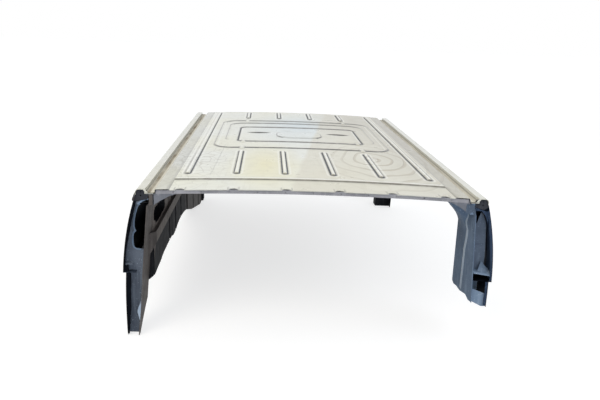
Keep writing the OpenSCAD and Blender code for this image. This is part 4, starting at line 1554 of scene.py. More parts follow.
@dataclass
class SpotWelds:
    """Spot welds along the flanges, dished by the electrodes."""

    joiner: Joiner
    rail_x: float = 823.9
    liner_x: float = 841.9
    cant_x: float = 799.9
    seed: int = 5

    def post_rows(self, side: int) -> list[WeldRow]:
        """Lists the rows on a front post.

        Args:
            side: 1 for the right side, -1 for the left.

        Returns:
            The rows.
        """
        rows = []
        low = 815.0 if side < 0 else 590.0
        offsets = ((10.0, 10.0), (176.0, 0.0)) if side < 0 else ((10.0, 10.0),)
        for run, extra in offsets:
            end = low if extra else 690.0
            rows.append(
                WeldRow(
                    (side * (POSTS.post_x(120) - 0.1), run_y(run), STAND_H - 120),
                    (side * (POSTS.post_x(end) - 0.1), run_y(run), STAND_H - end),
                    (-side, 0.0, 0.0),
                    34.0,
                )
            )
        if side > 0:
            rows.append(
                WeldRow(
                    (POSTS.post_x(130) + 6.9, run_y(POSTS.rear(130) - 14), STAND_H - 130),
                    (POSTS.post_x(600) + 6.9, run_y(POSTS.rear(600) - 14), STAND_H - 600),
                    (-1.0, 0.0, 0.0),
                    36.0,
                )
            )
        return rows

    def scatter(self, name: str, rows: list[WeldRow], coat: Coat, slot: str) -> None:
        """Makes one piece from rows of welds.

        Args:
            name: The piece's name.
            rows: Where the welds lie.
            coat: Their finish.
            slot: The material slot in the record.
        """
        rng = random.Random(self.seed)
        mesh = MeshBuilder()
        for row in rows:
            start, end = Vector(row.start), Vector(row.end)
            count = max(1, round((end - start).length / row.pitch))
            along = (end - start) / count
            for i in range(count + 1):
                shift = along.normalized() * rng.uniform(-3.0, 3.0) if 0 < i < count else Vector()
                mesh.dome(tuple(start + along * i + shift), Vector(row.normal), row.radius, row.height)
        self.joiner.join(name, mesh, coat, slot)

    def header_rows(self) -> list[WeldRow]:
        """Lists the rows on the front of the header.

        Returns:
            The rows.
        """
        rows = []
        near = run_y(5.9)
        for x in range(-630, 631, 42):
            z = float(crown_z(float(x))) - 21.5
            rows.append(WeldRow((x, near, z), (x + 0.1, near, z), (0.0, -1.0, 0.0), 50.0, 2.6))
        return rows

    def build(self) -> None:
        """Builds every group of welds."""
        self.scatter("welds_header", self.header_rows(), Coat.HEADER, "header_grey")
        self.scatter("welds_post_left", self.post_rows(-1), Coat.BROWN, "brown_primer")
        self.scatter("welds_post_right", self.post_rows(1), Coat.SLATE, "slate_primer")
        rail_z = STAND_H - 312.0 - 10.0
        rail = [
            WeldRow((-self.rail_x, run_y(210), z), (-self.rail_x, run_y(2220), z), (1, 0, 0), 46.0)
            for z in (rail_z, rail_z - 42.0)
        ]
        self.scatter("welds_waist_rail", rail, Coat.BROWN, "brown_primer")
        seams = []
        for run in LAP_RUNS:
            low = max(cut_z(LEFT_CUT, run) + 14.0, 20.0)
            y = run_y(run + 12)
            seams.append(WeldRow((-self.liner_x, y, 462.0), (-self.liner_x, y, low), (1, 0, 0), 30.0))
            seams.append(WeldRow((-self.liner_x, y, 730.0), (-self.liner_x, y, 560.0), (1, 0, 0), 40.0))
        self.scatter("welds_liner", seams, Coat.DARK, "dark_primer")
        cant = []
        for side in (-1, 1):
            x = side * self.cant_x
            cant.append(WeldRow((x, run_y(300), 796), (x, run_y(2440), 796), (-side, 0, 0), 60.0))
        self.scatter("welds_cant_rails", cant, Coat.GREY, "primer_grey")


@dataclass
class WebDressing:
    """Rolled lips, flanges and torn metal of the two front webs."""

    joiner: Joiner
    web_run: float = 35.0
    recess: float = 60.0
    gauge: float = 1.5
    rail_x: float = 800.0
    rail_gauge: float = 1.8
    rail_z: tuple[float, float] = (740.0, 804.0)
    seed: int = 31
    opening: Outline = (
        (878.0, 495.6), (890.0, 496.0), (903.1, 498.5), (910.0, 505.0), (913.0, 514.0), (914.4, 528.0),
        (915.0, 543.0), (914.0, 562.0), (910.2, 579.0), (905.0, 587.0), (899.4, 591.0), (898.5, 596.0),
        (903.0, 604.0), (905.6, 619.0), (905.0, 640.0), (901.3, 663.0), (897.0, 684.0), (891.4, 702.0),
        (886.0, 719.5), (878.7, 732.0), (870.5, 739.5),
    )
    panel_edge: Outline = (
        (886.0, 735.0), (902.0, 712.0), (913.0, 688.0), (919.0, 660.0), (923.0, 620.0), (928.0, 576.0),
        (933.0, 530.0), (936.0, 486.0), (936.0, 455.0), (931.0, 432.0), (922.0, 418.0), (908.0, 409.0),
        (890.0, 406.0),
    )

    def lip(
        self, mesh: MeshBuilder, points: list[tuple[float, float]], side: int, run: float, proud: float
    ) -> None:
        """Adds a rolled lip along an open line in a web.

        Args:
            mesh: Takes the lip.
            points: X and Z along the line.
            side: 1 for the right side, -1 for the left.
            run: Run of the face it stands on.
            proud: How far it stands towards the cab end.
        """
        rows = []
        for i, (x, z) in enumerate(points):
            before = Vector(points[max(i - 1, 0)])
            after = Vector(points[min(i + 1, len(points) - 1)])
            along = (after - before).normalized()
            out = Vector((along.y, -along.x))
            profile = ((-0.4, 0.4), (0.2, proud * 0.8), (2.2, proud), (5.0, proud * 0.6), (8.0, 0.0))
            rows.append([(side * (x + out.x * d), run_y(run - h), z + out.y * d) for d, h in profile])
        mesh.grid(rows, flip=side < 0)

    def build(self) -> None:
        """Builds the webs, their lips, the skin flanges, the torn flap and the shelf."""
        self.build_left_web()
        self.build_right_web()
        self.build_rail(-1, "left", (4.0, 4.0, 60.0))
        self.build_flanges()
        self.build_flap()
        self.build_shelf()
        self.build_crease()
        self.build_gusset_face()
        self.build_corner()
        self.build_rail(1, "right", (6.0, 118.0, 118.0))
        self.build_left_ledge()

    def build_left_web(self) -> None:
        """Builds the left web with its long opening and the rolled lip round it."""
        outline = [(UPPER.x_at(z) - 3.2, z) for z in np.linspace(739.5, 373.5, 14)]
        outline += [(LOWER.x_at(z) - 3.2, z) for z in np.linspace(370.0, 2.5, 8)]
        outline += [(POSTS.post_x(STAND_H - z) + 3.2, z) for z in (2.5, 250.0, 495.0)]
        outline += list(self.opening)
        web = MeshBuilder()
        web.add(*plate_faces(outline, [], self.web_run, self.gauge, -1))
        made = self.joiner.join("post_web_sheet_left", web, Coat.WEB, "slate_primer", False)
        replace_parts(made, "post_web_left")
        # The lip is drawn in a lighter slate as a painted highlight along its rolled edge.
        lips = MeshBuilder()
        self.lip(lips, list(self.opening), -1, self.web_run, 3.0)
        under = [(876.0, 744.0), (866.0, 753.0), (851.0, 764.0), (838.0, 770.0), (824.0, 773.0)]
        self.lip(lips, under, -1, 8.3, 2.0)
        made = self.joiner.join("post_web_lip_left", lips, Coat.SLATE_LIGHT, "slate_primer")
        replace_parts(made, "post_web_left")

    def build_right_web(self) -> None:
        """Builds the right web, a loose panel that stops short of the skin."""
        outline = [(POSTS.post_x(STAND_H - z) + 3.2, z) for z in (376.5, 510.0, 644.0)]
        outline += [(868.0, 684.0), (880.0, 738.0)] + list(self.panel_edge)
        outline.append((880.0, 376.5))
        panel = MeshBuilder()
        panel.add(*plate_faces(outline, [], self.recess, self.gauge, 1))
        made = self.joiner.join("post_web_sheet_right", panel, Coat.PANEL, "slate_primer", False)
        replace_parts(made, "post_web_right")
        bead = MeshBuilder()
        self.lip(bead, [(864.0, 566.0), (885.0, 565.0), (906.0, 566.0), (927.0, 569.0)], 1, self.recess, 2.2)
        made = self.joiner.join("post_web_joggle_right", bead, Coat.PANEL, "slate_primer")
        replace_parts(made, "post_web_right")
        # A near-black sheet behind the panel stands for the shade in the hollow: painted shade.
        back = MeshBuilder()
        outline = [(POSTS.post_x(STAND_H - z) + 3.2, z) for z in (376.5, 790.0)]
        outline += [(UPPER.x_at(z) - 3.4, z) for z in np.linspace(790.0, 376.5, 12)]
        back.add(*plate_faces(outline, [], self.recess + 52.0, 1.2, 1))
        made = self.joiner.join("post_web_back_right", back, Coat.BLACK, "slate_primer", False)
        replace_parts(made, "post_web_right")

    def build_rail(self, side: int, name: str, starts: tuple[float, float, float]) -> None:
        """Builds a cant rail: a top flange, a wall, a low flange and its lip.

        Args:
            side: 1 for the right side, -1 for the left.
            name: The side's name.
            starts: Runs where the top flange, the wall and the low flange start.
        """
        mesh = MeshBuilder()
        wall, gauge, (low, high) = self.rail_x, self.rail_gauge, self.rail_z
        far = UPPER.x_at(low + 1.0) - 3.4
        end = run_y(ROOF_LEN - 4.0)
        for near_x, far_x, start, low_z, high_z in (
            (wall, wall + 41.0, starts[0], high - gauge, high),
            (wall, wall + gauge, starts[1], low, high - gauge),
            (wall + gauge, far, starts[2], low, low + gauge),
            (far - gauge, far, starts[2], low + gauge, low + 14.0),
        ):
            ax, bx = sorted((side * near_x, side * far_x))
            mesh.box((ax, run_y(start), low_z), (bx, end, high_z))
        made = self.joiner.join(f"cant_rail_sheet_{name}", mesh, Coat.GREY, "primer_grey", False)
        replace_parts(made, f"cant_rail_{name}")

    def build_flanges(self) -> None:
        """Builds the turned-in flanges of the outer skins at the cab end, near black on the left as painted
        shade and mid slate on the right as painted light.
        """
        rng = random.Random(self.seed)
        for side, name, low_z in ((-1, "left", 6.0), (1, "right", 226.0)):
            mesh = MeshBuilder()
            rows = []
            z = 766.0
            while z > low_z:
                arc = UPPER if z > STEP_Z + 1.5 else LOWER
                outer = arc.x_at(z) - 1.4
                if z > STEP_Z:
                    width = 9.0 + 5.0 * math.sin((766.0 - z) / 394.0 * math.pi)
                    if side < 0:
                        width = 10.0 + 6.0 * min(1.0, max(0.0, (z - 500.0) / 90.0))
                elif side < 0:
                    width = 25.0 * min(1.0, 0.35 + z / 260.0)
                else:
                    width = 14.0
                width += rng.uniform(-0.8, 0.8)
                rows.append(
                    [(side * outer, run_y(3.0), z), (side * (outer - 2.0), run_y(1.4), z),
                     (side * (outer - width), run_y(2.2), z), (side * (outer - width), run_y(4.6), z)]
                )
                z -= 9.0
            mesh.grid(rows, flip=side > 0)
            coat = Coat.BLACK if side < 0 else Coat.INNER
            self.joiner.join(f"skin_flange_{name}", mesh, coat, "black_primer")

    def build_flap(self) -> None:
        """Builds the torn strip beside the left post, pale as a painted highlight."""
        rng = random.Random(self.seed + 1)
        rows = []
        for i in range(46):
            drop = 505.0 + i * 6.2
            swell = 15.0 * math.exp(-(((drop - 700.0) / 38.0) ** 2))
            width = 1.2 + swell + rng.uniform(0.0, 1.6)
            x = POSTS.post_x(drop) + 0.4
            rows.append(
                [(-x, run_y(1.6), STAND_H - drop), (-(x + width), run_y(2.6 + rng.random()), STAND_H - drop),
                 (-(x + width), run_y(3.4), STAND_H - drop)]
            )
        mesh = MeshBuilder()
        mesh.grid(rows)
        self.joiner.join("torn_edge_left", mesh, Coat.CREASE, "brown_primer", False)

    def build_shelf(self) -> None:
        """Builds the sheet that joins the right web to the skin at the step, lighter as painted light."""
        mesh = MeshBuilder()
        near, far = [], []
        for i in range(11):
            t = i / 10
            x = 867.5 + 98.0 * t
            z = 423.0 - 15.0 * t
            x = min(x, UPPER.x_at(z) - 3.6)
            near.append((x, run_y(4.0), z))
            far.append((x, run_y(self.recess + 6.0), z + 2.0 + 16.0 * t * t))
        lip = [(x, run_y(4.0), z - 5.0) for x, _, z in near]
        mesh.grid([lip, near, far])
        self.joiner.join("step_shelf_sheet_right", mesh, Coat.SLATE_LIGHT, "slate_primer")
        wedge = MeshBuilder()
        rows = []
        for i in range(9):
            t = i / 8
            low_x = 893.0 + 70.0 * t
            high_x = 918.0 + 40.0 * t
            high_z = 462.0 - 44.0 * t
            rows.append(
                [(min(low_x, UPPER.x_at(424) - 4.0), run_y(22.0), 424.0 - 13.0 * t),
                 (min(high_x, UPPER.x_at(high_z) - 4.0), run_y(56.0), high_z + 8.0)]
            )
        wedge.grid(rows)
        self.joiner.join("step_shelf_wedge_right", wedge, Coat.SLATE_LIGHT, "slate_primer")

    def build_crease(self) -> None:
        """Builds the ridge of the crease that runs down the right post, pale as a painted highlight."""
        mesh = MeshBuilder()
        path = [(52.0, 110.0), (91.0, 112.0), (150.0, 118.0), (176.0, 134.0), (192.0, 140.0), (208.0, 128.0),
                (226.0, 112.0), (255.0, 117.0), (291.0, 126.0)]
        path += [(drop, POSTS.crease(drop) - 2.0) for drop in (345.0, 400.0, 460.0, 540.0, 600.0)]
        ridge = ((-17, -0.1), (-11, -1.6), (0, -2.4), (9, -1.2), (15, 3.0))
        rows = []
        for drop, run in path:
            x = POSTS.post_x(drop)
            rows.append([(x + h, run_y(run + d), STAND_H - drop) for d, h in ridge])
        mesh.grid(rows, flip=True)
        self.joiner.join("post_crease_right", mesh, Coat.CREASE, "slate_primer")

    def build_gusset_face(self) -> None:
        """Builds the light upper sheet of the right header gusset."""
        low = [
            (640.0, 34.0), (664.0, 39.0), (690.0, 45.0), (714.0, 53.0), (740.0, 66.0), (765.0, 82.0),
            (797.0, 104.0),
        ]
        outline = [(x, float(crown_z(x)) - 12.0) for x in (797.0, 765.0, 714.0, 664.0, 640.0)]
        outline += [(x, STAND_H - drop) for x, drop in low]
        sheet = MeshBuilder()
        sheet.add(*plate_faces(outline, [], 7.6, 0.8, 1))
        made = self.joiner.join("header_gusset_face_right", sheet, Coat.GUSSET, "header_grey", False)
        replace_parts(made, "header_gusset_right")

    def build_corner(self) -> None:
        """Builds the rounded corner sheet behind the right gusset and the strips beside the post's top."""
        profile = [
            (640.0, 807.0), (668.0, 803.0), (700.0, 790.0), (730.0, 768.0), (757.0, 742.0), (781.0, 717.0),
            (805.0, 692.0), (825.0, 668.0), (838.0, 645.0), (846.0, 625.0), (850.0, 606.0), (852.0, 590.0),
        ]
        smooth = []
        for i in range(len(profile) - 1):
            for k in range(4):
                t = k / 4
                (ax, az), (bx, bz) = profile[i], profile[i + 1]
                smooth.append((ax * (1 - t) + bx * t, az * (1 - t) + bz * t))
        smooth.append(profile[-1])
        bend = ((0.3, 0.16), (0.7, 0.5), (0.93, 0.8))
        rows = []
        for i, (x, z) in enumerate(smooth):
            t = i / (len(smooth) - 1)
            drop = STAND_H - z
            face = POSTS.post_x(drop) - 0.4
            crease = 112.0 + 24.0 * bell(np.array(drop - 190.0), 45.0).item()
            rear = 258.0 + 22.0 * t
            row = [(face, run_y(crease), z)]
            row += [(face + (x - face) * a, run_y(crease + 40.0 * b), z) for a, b in bend]
            row += [(x, run_y(run), z) for run in (crease + 48.0, 185.0, 220.0, rear)]
            row.append((x + 3.0, run_y(rear + 0.5), z + 2.0))
            rows.append(row)
        mesh = MeshBuilder()
        mesh.grid(rows, flip=True)
        made = self.joiner.join("corner_sheet_curved_right", mesh, Coat.SLATE, "slate_primer")
        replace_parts(made, "header_gusset_right")
        strip = MeshBuilder()
        outline = [
            (779.0, 797.0), (800.0, 798.0), (820.5, 797.0), (822.0, 780.0), (834.5, 742.0), (834.5, 736.0),
            (829.5, 736.0), (812.0, 757.0), (797.0, 744.5), (779.0, 754.0),
        ]
        strip.add(*plate_faces(outline, [], 3.2, 1.0, 1))
        made = self.joiner.join("post_head_strip_right", strip, Coat.STRIP, "slate_primer", False)
        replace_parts(made, "header_gusset_right")
        side = MeshBuilder()
        rows = []
        for z in (735.0, 745.0, 760.0, 775.0, 790.0, 806.0):
            face = POSTS.post_x(STAND_H - z)
            rows.append([(face, run_y(run), z) for run in (4.4, 30.0, 60.0, 90.0, 116.0)])
        side.grid(rows)
        made = self.joiner.join("post_head_side_right", side, Coat.SLATE, "slate_primer")
        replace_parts(made, "header_gusset_right")

    def build_left_ledge(self) -> None:
        """Builds the small rubbed ledge in the left skin over the step, and a near-black sheet below it as
        painted shade.
        """
        profile = ((2.4, -3.0), (2.0, -0.5), (5.0, 0.0), (30.0, 1.0))
        rows = []
        for i in range(7):
            t = i / 6
            x = 918.0 + (UPPER.x_at(418.0) - 3.0 - 918.0) * t
            z = 419.0 + 3.0 * math.sin(t * math.pi)
            rows.append([(-x, run_y(run), z + up) for run, up in profile])
        mesh = MeshBuilder()
        mesh.grid(rows)
        self.joiner.join("step_ledge_left", mesh, Coat.WEB, "slate_primer")
        block = MeshBuilder()
        outline = [(941.0, 376.0), (UPPER.x_at(376) - 2.0, 376.0), (UPPER.x_at(412) - 2.0, 412.0)]
        outline.append((937.0, 411.0))
        block.add(*plate_faces(outline, [], 3.4, 1.0, -1))
        self.joiner.join("step_edge_left", block, Coat.BLACK, "black_primer", False)


@dataclass
class WallDressing:
    """Laps, the ragged window and dirt of the left inner wall."""

    joiner: Joiner
    liner_x: float = 842.0
    split_z: float = 506.8
    start_run: float = 187.5
    end_run: float = 2446.0
    swages: tuple[float, ...] = (690.0, 930.0, 1170.0, 1500.0, 1850.0, 2200.0)
    swage_half: float = 22.0
    swage_depth: float = 8.0
    rail_x: float = 823.8
    joint_run: float = 1400.0
    cut: Outline = (
        (187.0, 276.0), (223.0, 276.0), (268.0, 280.0), (324.0, 281.0), (381.0, 282.0), (422.0, 290.0),
        (476.0, 293.0), (608.0, 292.0), (680.0, 291.0), (766.0, 285.0), (830.0, 268.0), (889.0, 267.0),
        (957.0, 270.0), (1012.0, 280.0), (1085.0, 284.0), (1181.0, 281.0), (1300.0, 270.0), (1442.0, 244.0),
        (1749.0, 146.0), (2083.0, 64.0), (2340.0, 0.0), (2550.0, 0.0),
    )
    seed: int = 12

    def cut_at(self, run: float) -> float:
        """Gives the height of the cut in the liner at a run."""
        return float(np.interp(run, [p[0] for p in self.cut], [p[1] for p in self.cut]))

    def face_x(self, run: float) -> float:
        """Gives how far the liner lies from the middle, deeper in the pressed swages.

        Args:
            run: The run.

        Returns:
            Its distance from the middle.
        """
        depth = 0.0
        for middle in self.swages:
            depth = max(depth, 1.0 - float(smooth_step(np.array(abs(run - middle)), 13.0, self.swage_half)))
        return self.liner_x + self.swage_depth * depth

    def build_liner(self) -> None:
        """Builds the swaged lower liner in two sheets and its return to the post."""
        rng = random.Random(self.seed + 9)
        spans = (
            (self.start_run, self.joint_run, "front", Coat.DARK),
            (self.joint_run, self.end_run, "rear", Coat.BROWN_DARK),
        )
        for start, end, name, coat in spans:
            runs = [start]
            while runs[-1] < end - 0.1:
                near = min(abs(runs[-1] + 6.0 - middle) for middle in self.swages) < 34.0
                runs.append(min(runs[-1] + (4.0 if near else 16.0), end))
            inner, outer = [], []
            for run in runs:
                low = max(self.cut_at(run) + rng.uniform(0.0, 2.0), 0.0)
                x = self.face_x(run)
                heights = [low + (self.split_z - low) * i / 8 for i in range(9)]
                inner.append([(-x, run_y(run), z) for z in heights])
                outer.append([(-(x + 2.2), run_y(run), z) for z in heights])
            mesh = MeshBuilder()
            mesh.grid(inner)
            mesh.grid(outer, flip=True)
            mesh.grid([[row[0] for row in outer], [row[0] for row in inner]])
            mesh.grid([[row[-1] for row in inner], [row[-1] for row in outer]])
            mesh.grid([outer[0], inner[0]])
            mesh.grid([inner[-1], outer[-1]])
            made = self.joiner.join(f"lower_liner_sheet_{name}", mesh, coat, "dark_primer")
            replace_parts(made, "lower_liner_left")
        outline = [(self.liner_x + 0.2, self.split_z), (self.liner_x + 0.2, 279.0)]
        outline += [(855.0, 264.0), (868.0, 252.0)]
        outline += [(POSTS.post_x(STAND_H - z) + 2.0, z) for z in (243.0, 420.0, self.split_z)]
        back = MeshBuilder()
        back.add(*plate_faces(outline, [], self.start_run, 1.5, -1))
        made = self.joiner.join("lower_liner_return", back, Coat.DARK, "dark_primer", False)
        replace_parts(made, "lower_liner_left")

    def build_foot(self) -> None:
        """Builds the sheet that brings the front end of the waist rail down to the post."""
        mesh = MeshBuilder()
        rows = []
        for i in range(9):
            t = i / 8
            run = 189.0 - 84.0 * t
            soft = t * t * (3.0 - 2.0 * t)
            high = 538.0 + 10.0 * soft
            low = 476.0 - 66.0 * soft
            row = []
            for k in range(5):
                z = high + (low - high) * k / 4
                flush = POSTS.post_x(STAND_H - z) - 0.6
                row.append((-(self.rail_x + (flush - self.rail_x) * soft), run_y(run), z))
            rows.append(row)
        mesh.grid(rows)
        for side in (0, -1):
            edge = [row[side] for row in rows]
            back = [(-(POSTS.post_x(STAND_H - z) + 1.0), y, z) for _, y, z in edge]
            mesh.grid([edge, back], flip=side == 0)
        self.joiner.join("waist_rail_foot_left", mesh, Coat.BROWN, "brown_primer")
        flare = MeshBuilder()
        outline = [
            (188.0, 477.0), (188.0, 352.0), (198.0, 388.0), (215.0, 418.0), (240.0, 440.0), (285.0, 460.0),
            (345.0, 470.0), (400.0, 477.0),
        ]
        ring = tuple(range(len(outline)))
        flare.add([(-(self.liner_x - 1.0), run_y(run), z) for run, z in outline], [ring])
        flare.add([(-(self.liner_x - 0.2), run_y(run), z) for run, z in outline], [ring[::-1]])
        self.joiner.join("waist_rail_flare_left", flare, Coat.BROWN, "brown_primer", False)

    def build(self) -> None:
        """Builds the lapped panel edges, the ragged window and the cut edge."""
        self.build_liner()
        self.build_foot()
        self.build_laps()
        self.build_window()
        self.build_cut()

    def build_laps(self) -> None:
        """Builds the lapped edges where panels of the liner meet."""
        mesh = MeshBuilder()
        profile = ((0.0, 0.2), (1.0, 2.0), (4.0, 2.4), (22.0, 1.8), (27.0, 0.2))
        steps = 14
        for run in LAP_RUNS:
            low = max(self.cut_at(run) + 3.0, 3.0)
            for z0, z1 in ((low, 474.0), (540.0, 738.0)):
                rows = []
                for i in range(steps + 1):
                    z = z0 + (z1 - z0) * i / steps
                    rows.append([(-(self.liner_x - h), run_y(run + d), z) for d, h in profile])
                mesh.grid(rows, flip=True)
        self.joiner.join("liner_laps", mesh, Coat.DARK, "dark_primer")

    def build_window(self) -> None:
        """Builds the torn sheet round the window in the upper liner."""
        rng = random.Random(self.seed)
        corners = rounded([(207, 657), (554, 657), (554, 548), (207, 548)], 28.0, 6)
        line = []
        for i, (a, b) in enumerate(corners):
            c, d = corners[(i + 1) % len(corners)]
            count = max(1, round(math.hypot(c - a, d - b) / 11.0))
            line += [(a + (c - a) * k / count, b + (d - b) * k / count) for k in range(count)]
        inner, outer = [], []
        for a, b in line:
            inward = Vector((380.5 - a, 602.5 - b)).normalized()
            depth = rng.uniform(1.0, 9.0)
            if a > 430 or b > 645:
                depth += rng.uniform(0.0, 16.0)
            if a < 330 and b < 585:
                depth += 34.0 * (330.0 - a) / 125.0
            x = -(self.liner_x + rng.uniform(-2.0, 1.0))
            inner.append((x, run_y(a + inward.x * depth), b + inward.y * depth))
            outer.append((-(self.liner_x + 0.6), run_y(a - inward.x * 3.0), b - inward.y * 3.0))
        mesh = MeshBuilder()
        mesh.grid([outer + outer[:1], inner + inner[:1]])
        self.joiner.join("torn_window_edge", mesh, Coat.BROWN_LIGHT, "brown_primer", False)

    def build_cut(self) -> None:
        """Builds the bright edge the grinder left along the liner."""
        rng = random.Random(self.seed + 3)
        rows = []
        run = 190.0
        while run < 2440.0:
            z = self.cut_at(run) + rng.uniform(0.2, 2.4)
            rows.append([(-(self.liner_x - 0.3), run_y(run), z + 1.6), (-(self.liner_x - 0.2), run_y(run), z),
                         (-(self.liner_x + 3.1), run_y(run), z)])
            run += rng.uniform(5.0, 11.0)
        mesh = MeshBuilder()
        mesh.grid(rows)
        self.joiner.join("liner_cut_edge", mesh, Coat.STEEL, "dark_primer", False)


@dataclass
class UndersideDressing:
    """Mastic that keeps the roof skin from drumming on its bows."""

    joiner: Joiner
    seed: int = 44

    def build(self) -> None:
        """Builds dabs of mastic along both edges of each bow."""
        rng = random.Random(self.seed)
        mesh = MeshBuilder()
        for middle in BOW_RUNS:
            for offset in (-41.0, 41.0):
                for i in range(-6, 7):
                    x = i * 104.0 + rng.uniform(-8.0, 8.0)
                    z = float(crown_z(x)) - 3.1
                    mesh.dome((x, run_y(middle + offset), z), Vector((0, 0, -1)), rng.uniform(9, 14), 3.5, 12)
        self.joiner.join("mastic_dabs", mesh, Coat.MASTIC, "seam_sealer")


@dataclass(frozen=True)
class SoftLamp:
    """A round lamp that hangs over the part, aimed at its middle."""

    name: str
    place: Point
    size: float
    power: float
    colour: str


@dataclass
class Studio:
    """Pale floor, white surroundings, soft lamps and the camera of the photograph."""

    lamps: tuple[SoftLamp, ...] = (
        SoftLamp("key_lamp", (-3.5, -4.5, 5.0), 4.0, 150.0, "#fff8ee"),
        SoftLamp("fill_lamp", (4.5, -2.0, 4.0), 3.5, 60.0, "#eef4ff"),
        SoftLamp("front_lamp", (0.5, -6.0, 1.2), 3.0, 70.0, "#f2f6ff"),
    )
    aim: Point = (0.0, 0.0, 0.5)
    photo_px: tuple[float, float] = (600.0, 400.0)
    sensor_mm: float = 36.0
    focal_px: float = 560.0
    centre_px: tuple[float, float] = (275.5, 210.3)
    eye: Point = (-0.247, -3.951, 1.628)
    forward: Point = (0.0216, 0.9487, -0.3155)
    right: Point = (0.9993, -0.0114, 0.0342)
    floor_colour: str = "#b4b4b3"
    floor_half: float = 40.0
    floor_glow: float = 0.68
    sky_colour: str = "#f4f7fb"
    low_sky: float = 0.2
    high_sky: float = 0.72
    far_glow: float = 0.68

    def build(self) -> None:
        """Builds the surroundings."""
        self.build_camera()
        self.build_world()
        self.build_floor()
        self.build_lamps()

    def build_camera(self) -> None:
        """Places the camera where the photograph was taken."""
        lens = bpy.data.cameras.new("photo_camera")
        width, height = self.photo_px
        lens.sensor_width = self.sensor_mm
        lens.lens = self.focal_px / width * self.sensor_mm
        lens.shift_x = (width / 2 - self.centre_px[0]) / width
        lens.shift_y = (self.centre_px[1] - height / 2) / width
        lens.clip_end = 200.0
        camera = bpy.data.objects.new("photo_camera", lens)
        ahead = Vector(self.forward).normalized()
        right = Vector(self.right)
        right = (right - ahead * right.dot(ahead)).normalized()
        up = right.cross(ahead)
        turn = Matrix((right, up, -ahead)).transposed()
        camera.matrix_world = Matrix.Translation(Vector(self.eye)) @ turn.to_4x4()
        bpy.context.scene.collection.objects.link(camera)
        bpy.context.scene.camera = camera

    def white_rays(self, tree: Tree) -> Socket:
        """Gives 1 for the rays that show the plain white surroundings.

        Args:
            tree: The node tree.

        Returns:
            The factor for a mix of shaders.
        """
        path = add_node(tree, "LightPath")
        seen = maths(tree, "ADD", path.outputs["Is Camera Ray"], path.outputs["Is Transmission Ray"])
        return maths(tree, "ADD", seen, path.outputs["Is Glossy Ray"])

    def build_world(self) -> None:
        """Lights the part evenly from all round, and shows plain white."""
        world = bpy.data.worlds.new("studio_world")
        bpy.context.scene.world = world
        world.use_nodes = True
        tree = world.node_tree
        tree.nodes.clear()
        where = add_node(tree, "TexCoord").outputs["Generated"]
        split = add_node(tree, "SeparateXYZ", links={0: where})
        aside = maths(tree, "ABSOLUTE", maths(tree, "SUBTRACT", split.outputs[0], 0.08))
        skyline = maths(tree, "ADD", maths(tree, "MULTIPLY", aside, 0.5), 0.11)
        over = maths(tree, "SUBTRACT", split.outputs[2], skyline)
        ahead = add_node(tree, "MapRange", {"From Min": 0.1, "From Max": 0.5}, {"Value": split.outputs[1]})
        sky = add_node(tree, "MapRange", {"From Min": -0.02, "From Max": 0.03}, {"Value": over})
        far = maths(tree, "MULTIPLY", sky.outputs[0], ahead.outputs[0])
        fade = add_node(
            tree,
            "MapRange",
            {"From Min": 0.3, "From Max": 0.75, "To Min": 1.0, "To Max": 0.0},
            {"Value": split.outputs[2]},
        )
        far = maths(tree, "MULTIPLY", far, fade.outputs[0])
        height = add_node(tree, "MapRange", {"From Min": -0.05, "From Max": 0.9}, {"Value": split.outputs[2]})
        dome = ramp(tree, height.outputs[0], [(0.0, self.low_sky), (0.4, 0.4), (1.0, self.high_sky)])
        level = maths(tree, "ADD", maths(tree, "MULTIPLY", far, self.far_glow), dome)
        soft = add_node(tree, "Background", {"Color": linear(self.sky_colour)}, {"Strength": level})
        plain = add_node(tree, "Background", {"Color": (1.0, 1.0, 1.0, 1.0), "Strength": 1.0})
        shown = add_node(
            tree, "MixShader", links={0: self.white_rays(tree), 1: soft.outputs[0], 2: plain.outputs[0]}
        )
        add_node(tree, "OutputWorld", links={"Surface": shown.outputs[0]})

    def build_floor(self) -> None:
        """Lays a plain pale floor that keeps the shadow of the part."""
        size = self.floor_half
        mesh = bpy.data.meshes.new("studio_floor")
        corners = [(-size, -size, 0.0), (size, -size, 0.0), (size, size, 0.0), (-size, size, 0.0)]
        mesh.from_pydata(corners, [], [(0, 1, 2, 3)])
        material, tree, shader = start_material("studio_floor_paper")
        shader.inputs["Base Color"].default_value = linear(self.floor_colour)
        shader.inputs["Roughness"].default_value = 0.9
        glow = add_node(tree, "Emission", {"Color": (1.0, 1.0, 1.0, 1.0), "Strength": self.floor_glow})
        lit = add_node(tree, "AddShader", links={0: shader.outputs[0], 1: glow.outputs[0]})
        shown = add_node(
            tree, "MixShader", links={0: self.white_rays(tree), 1: shader.outputs[0], 2: lit.outputs[0]}
        )
        output = next(node for node in tree.nodes if node.type == "OUTPUT_MATERIAL")
        tree.links.new(shown.outputs[0], output.inputs["Surface"])
        mesh.materials.append(material)
        floor = bpy.data.objects.new("studio_floor", mesh)
        bpy.context.scene.collection.objects.link(floor)

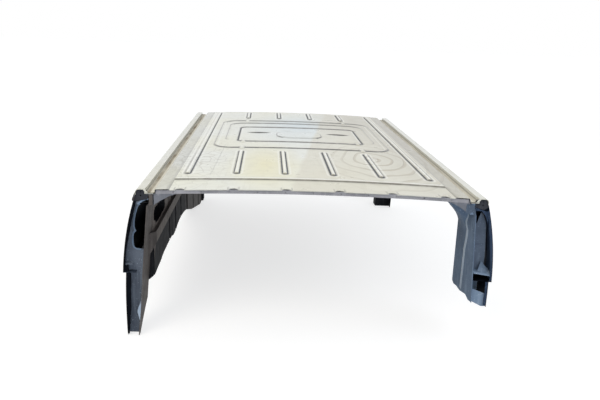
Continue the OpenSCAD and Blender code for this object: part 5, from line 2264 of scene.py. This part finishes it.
    def build_lamps(self) -> None:
        """Hangs large soft lamps that no camera sees."""
        for plan in self.lamps:
            data = bpy.data.lights.new(plan.name, "AREA")
            data.shape = "DISK"
            data.size = plan.size
            data.energy = plan.power
            data.color = linear(plan.colour)[:3]
            lamp = bpy.data.objects.new(plan.name, data)
            lamp.visible_camera = False
            place = Vector(plan.place)
            turn = (place - Vector(self.aim)).to_track_quat("Z", "Y")
            lamp.matrix_world = Matrix.Translation(place) @ turn.to_matrix().to_4x4()
            bpy.context.scene.collection.objects.link(lamp)


NODE_COATS: dict[str, Coat] = {
    "side_rail_left": Coat.RAIL,
    "side_rail_right": Coat.RAIL,
    "rail_end_cap_left": Coat.RAIL,
    "rail_end_cap_right": Coat.RAIL,
    "front_header": Coat.HEADER,
    "header_gusset_left": Coat.GUSSET,
    "roof_bow_front": Coat.GREY,
    "roof_bow_rear": Coat.GREY,
    "rear_header": Coat.GREY,
    "front_post_left": Coat.BROWN,
    "front_post_right": Coat.SLATE,
    "post_foot_right": Coat.SLATE_LIGHT,
    "step_shelf_left": Coat.SLATE_DARK,
    # The right step shelf is drawn near black as painted shade.
    "step_shelf_right": Coat.BLACK,
    "waist_rail_left": Coat.BROWN_LIGHT,
    "upper_liner_left": Coat.BROWN_LIGHT,
    "side_post_left_1": Coat.DARK,
    "side_post_left_2": Coat.DARK,
    "side_post_left_3": Coat.DARK,
    "rear_post_left": Coat.DARK,
    "rear_post_right": Coat.DARK,
}


def main() -> None:
    """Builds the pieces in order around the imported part."""
    logging.basicConfig(level=logging.INFO, format="%(name)s: %(message)s")
    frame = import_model()
    bpy.context.scene.view_settings.view_transform = "Standard"
    shop = PaintShop()
    joiner = Joiner(shop)
    for name, coat in NODE_COATS.items():
        shop.dress(frame["nodes"][name], coat)
        LOG.info("dressed %s in %s", name, coat.value.name)
    RoofPressing(joiner).build()
    DitchSeams(joiner).build()
    BodySide(joiner).build()
    CornerHardware(joiner).build()
    WebDressing(joiner).build()
    WallDressing(joiner).build()
    SpotWelds(joiner).build()
    UndersideDressing(joiner).build()
    Studio().build()
    bpy.context.view_layer.update()


if __name__ == "__main__":
    main()
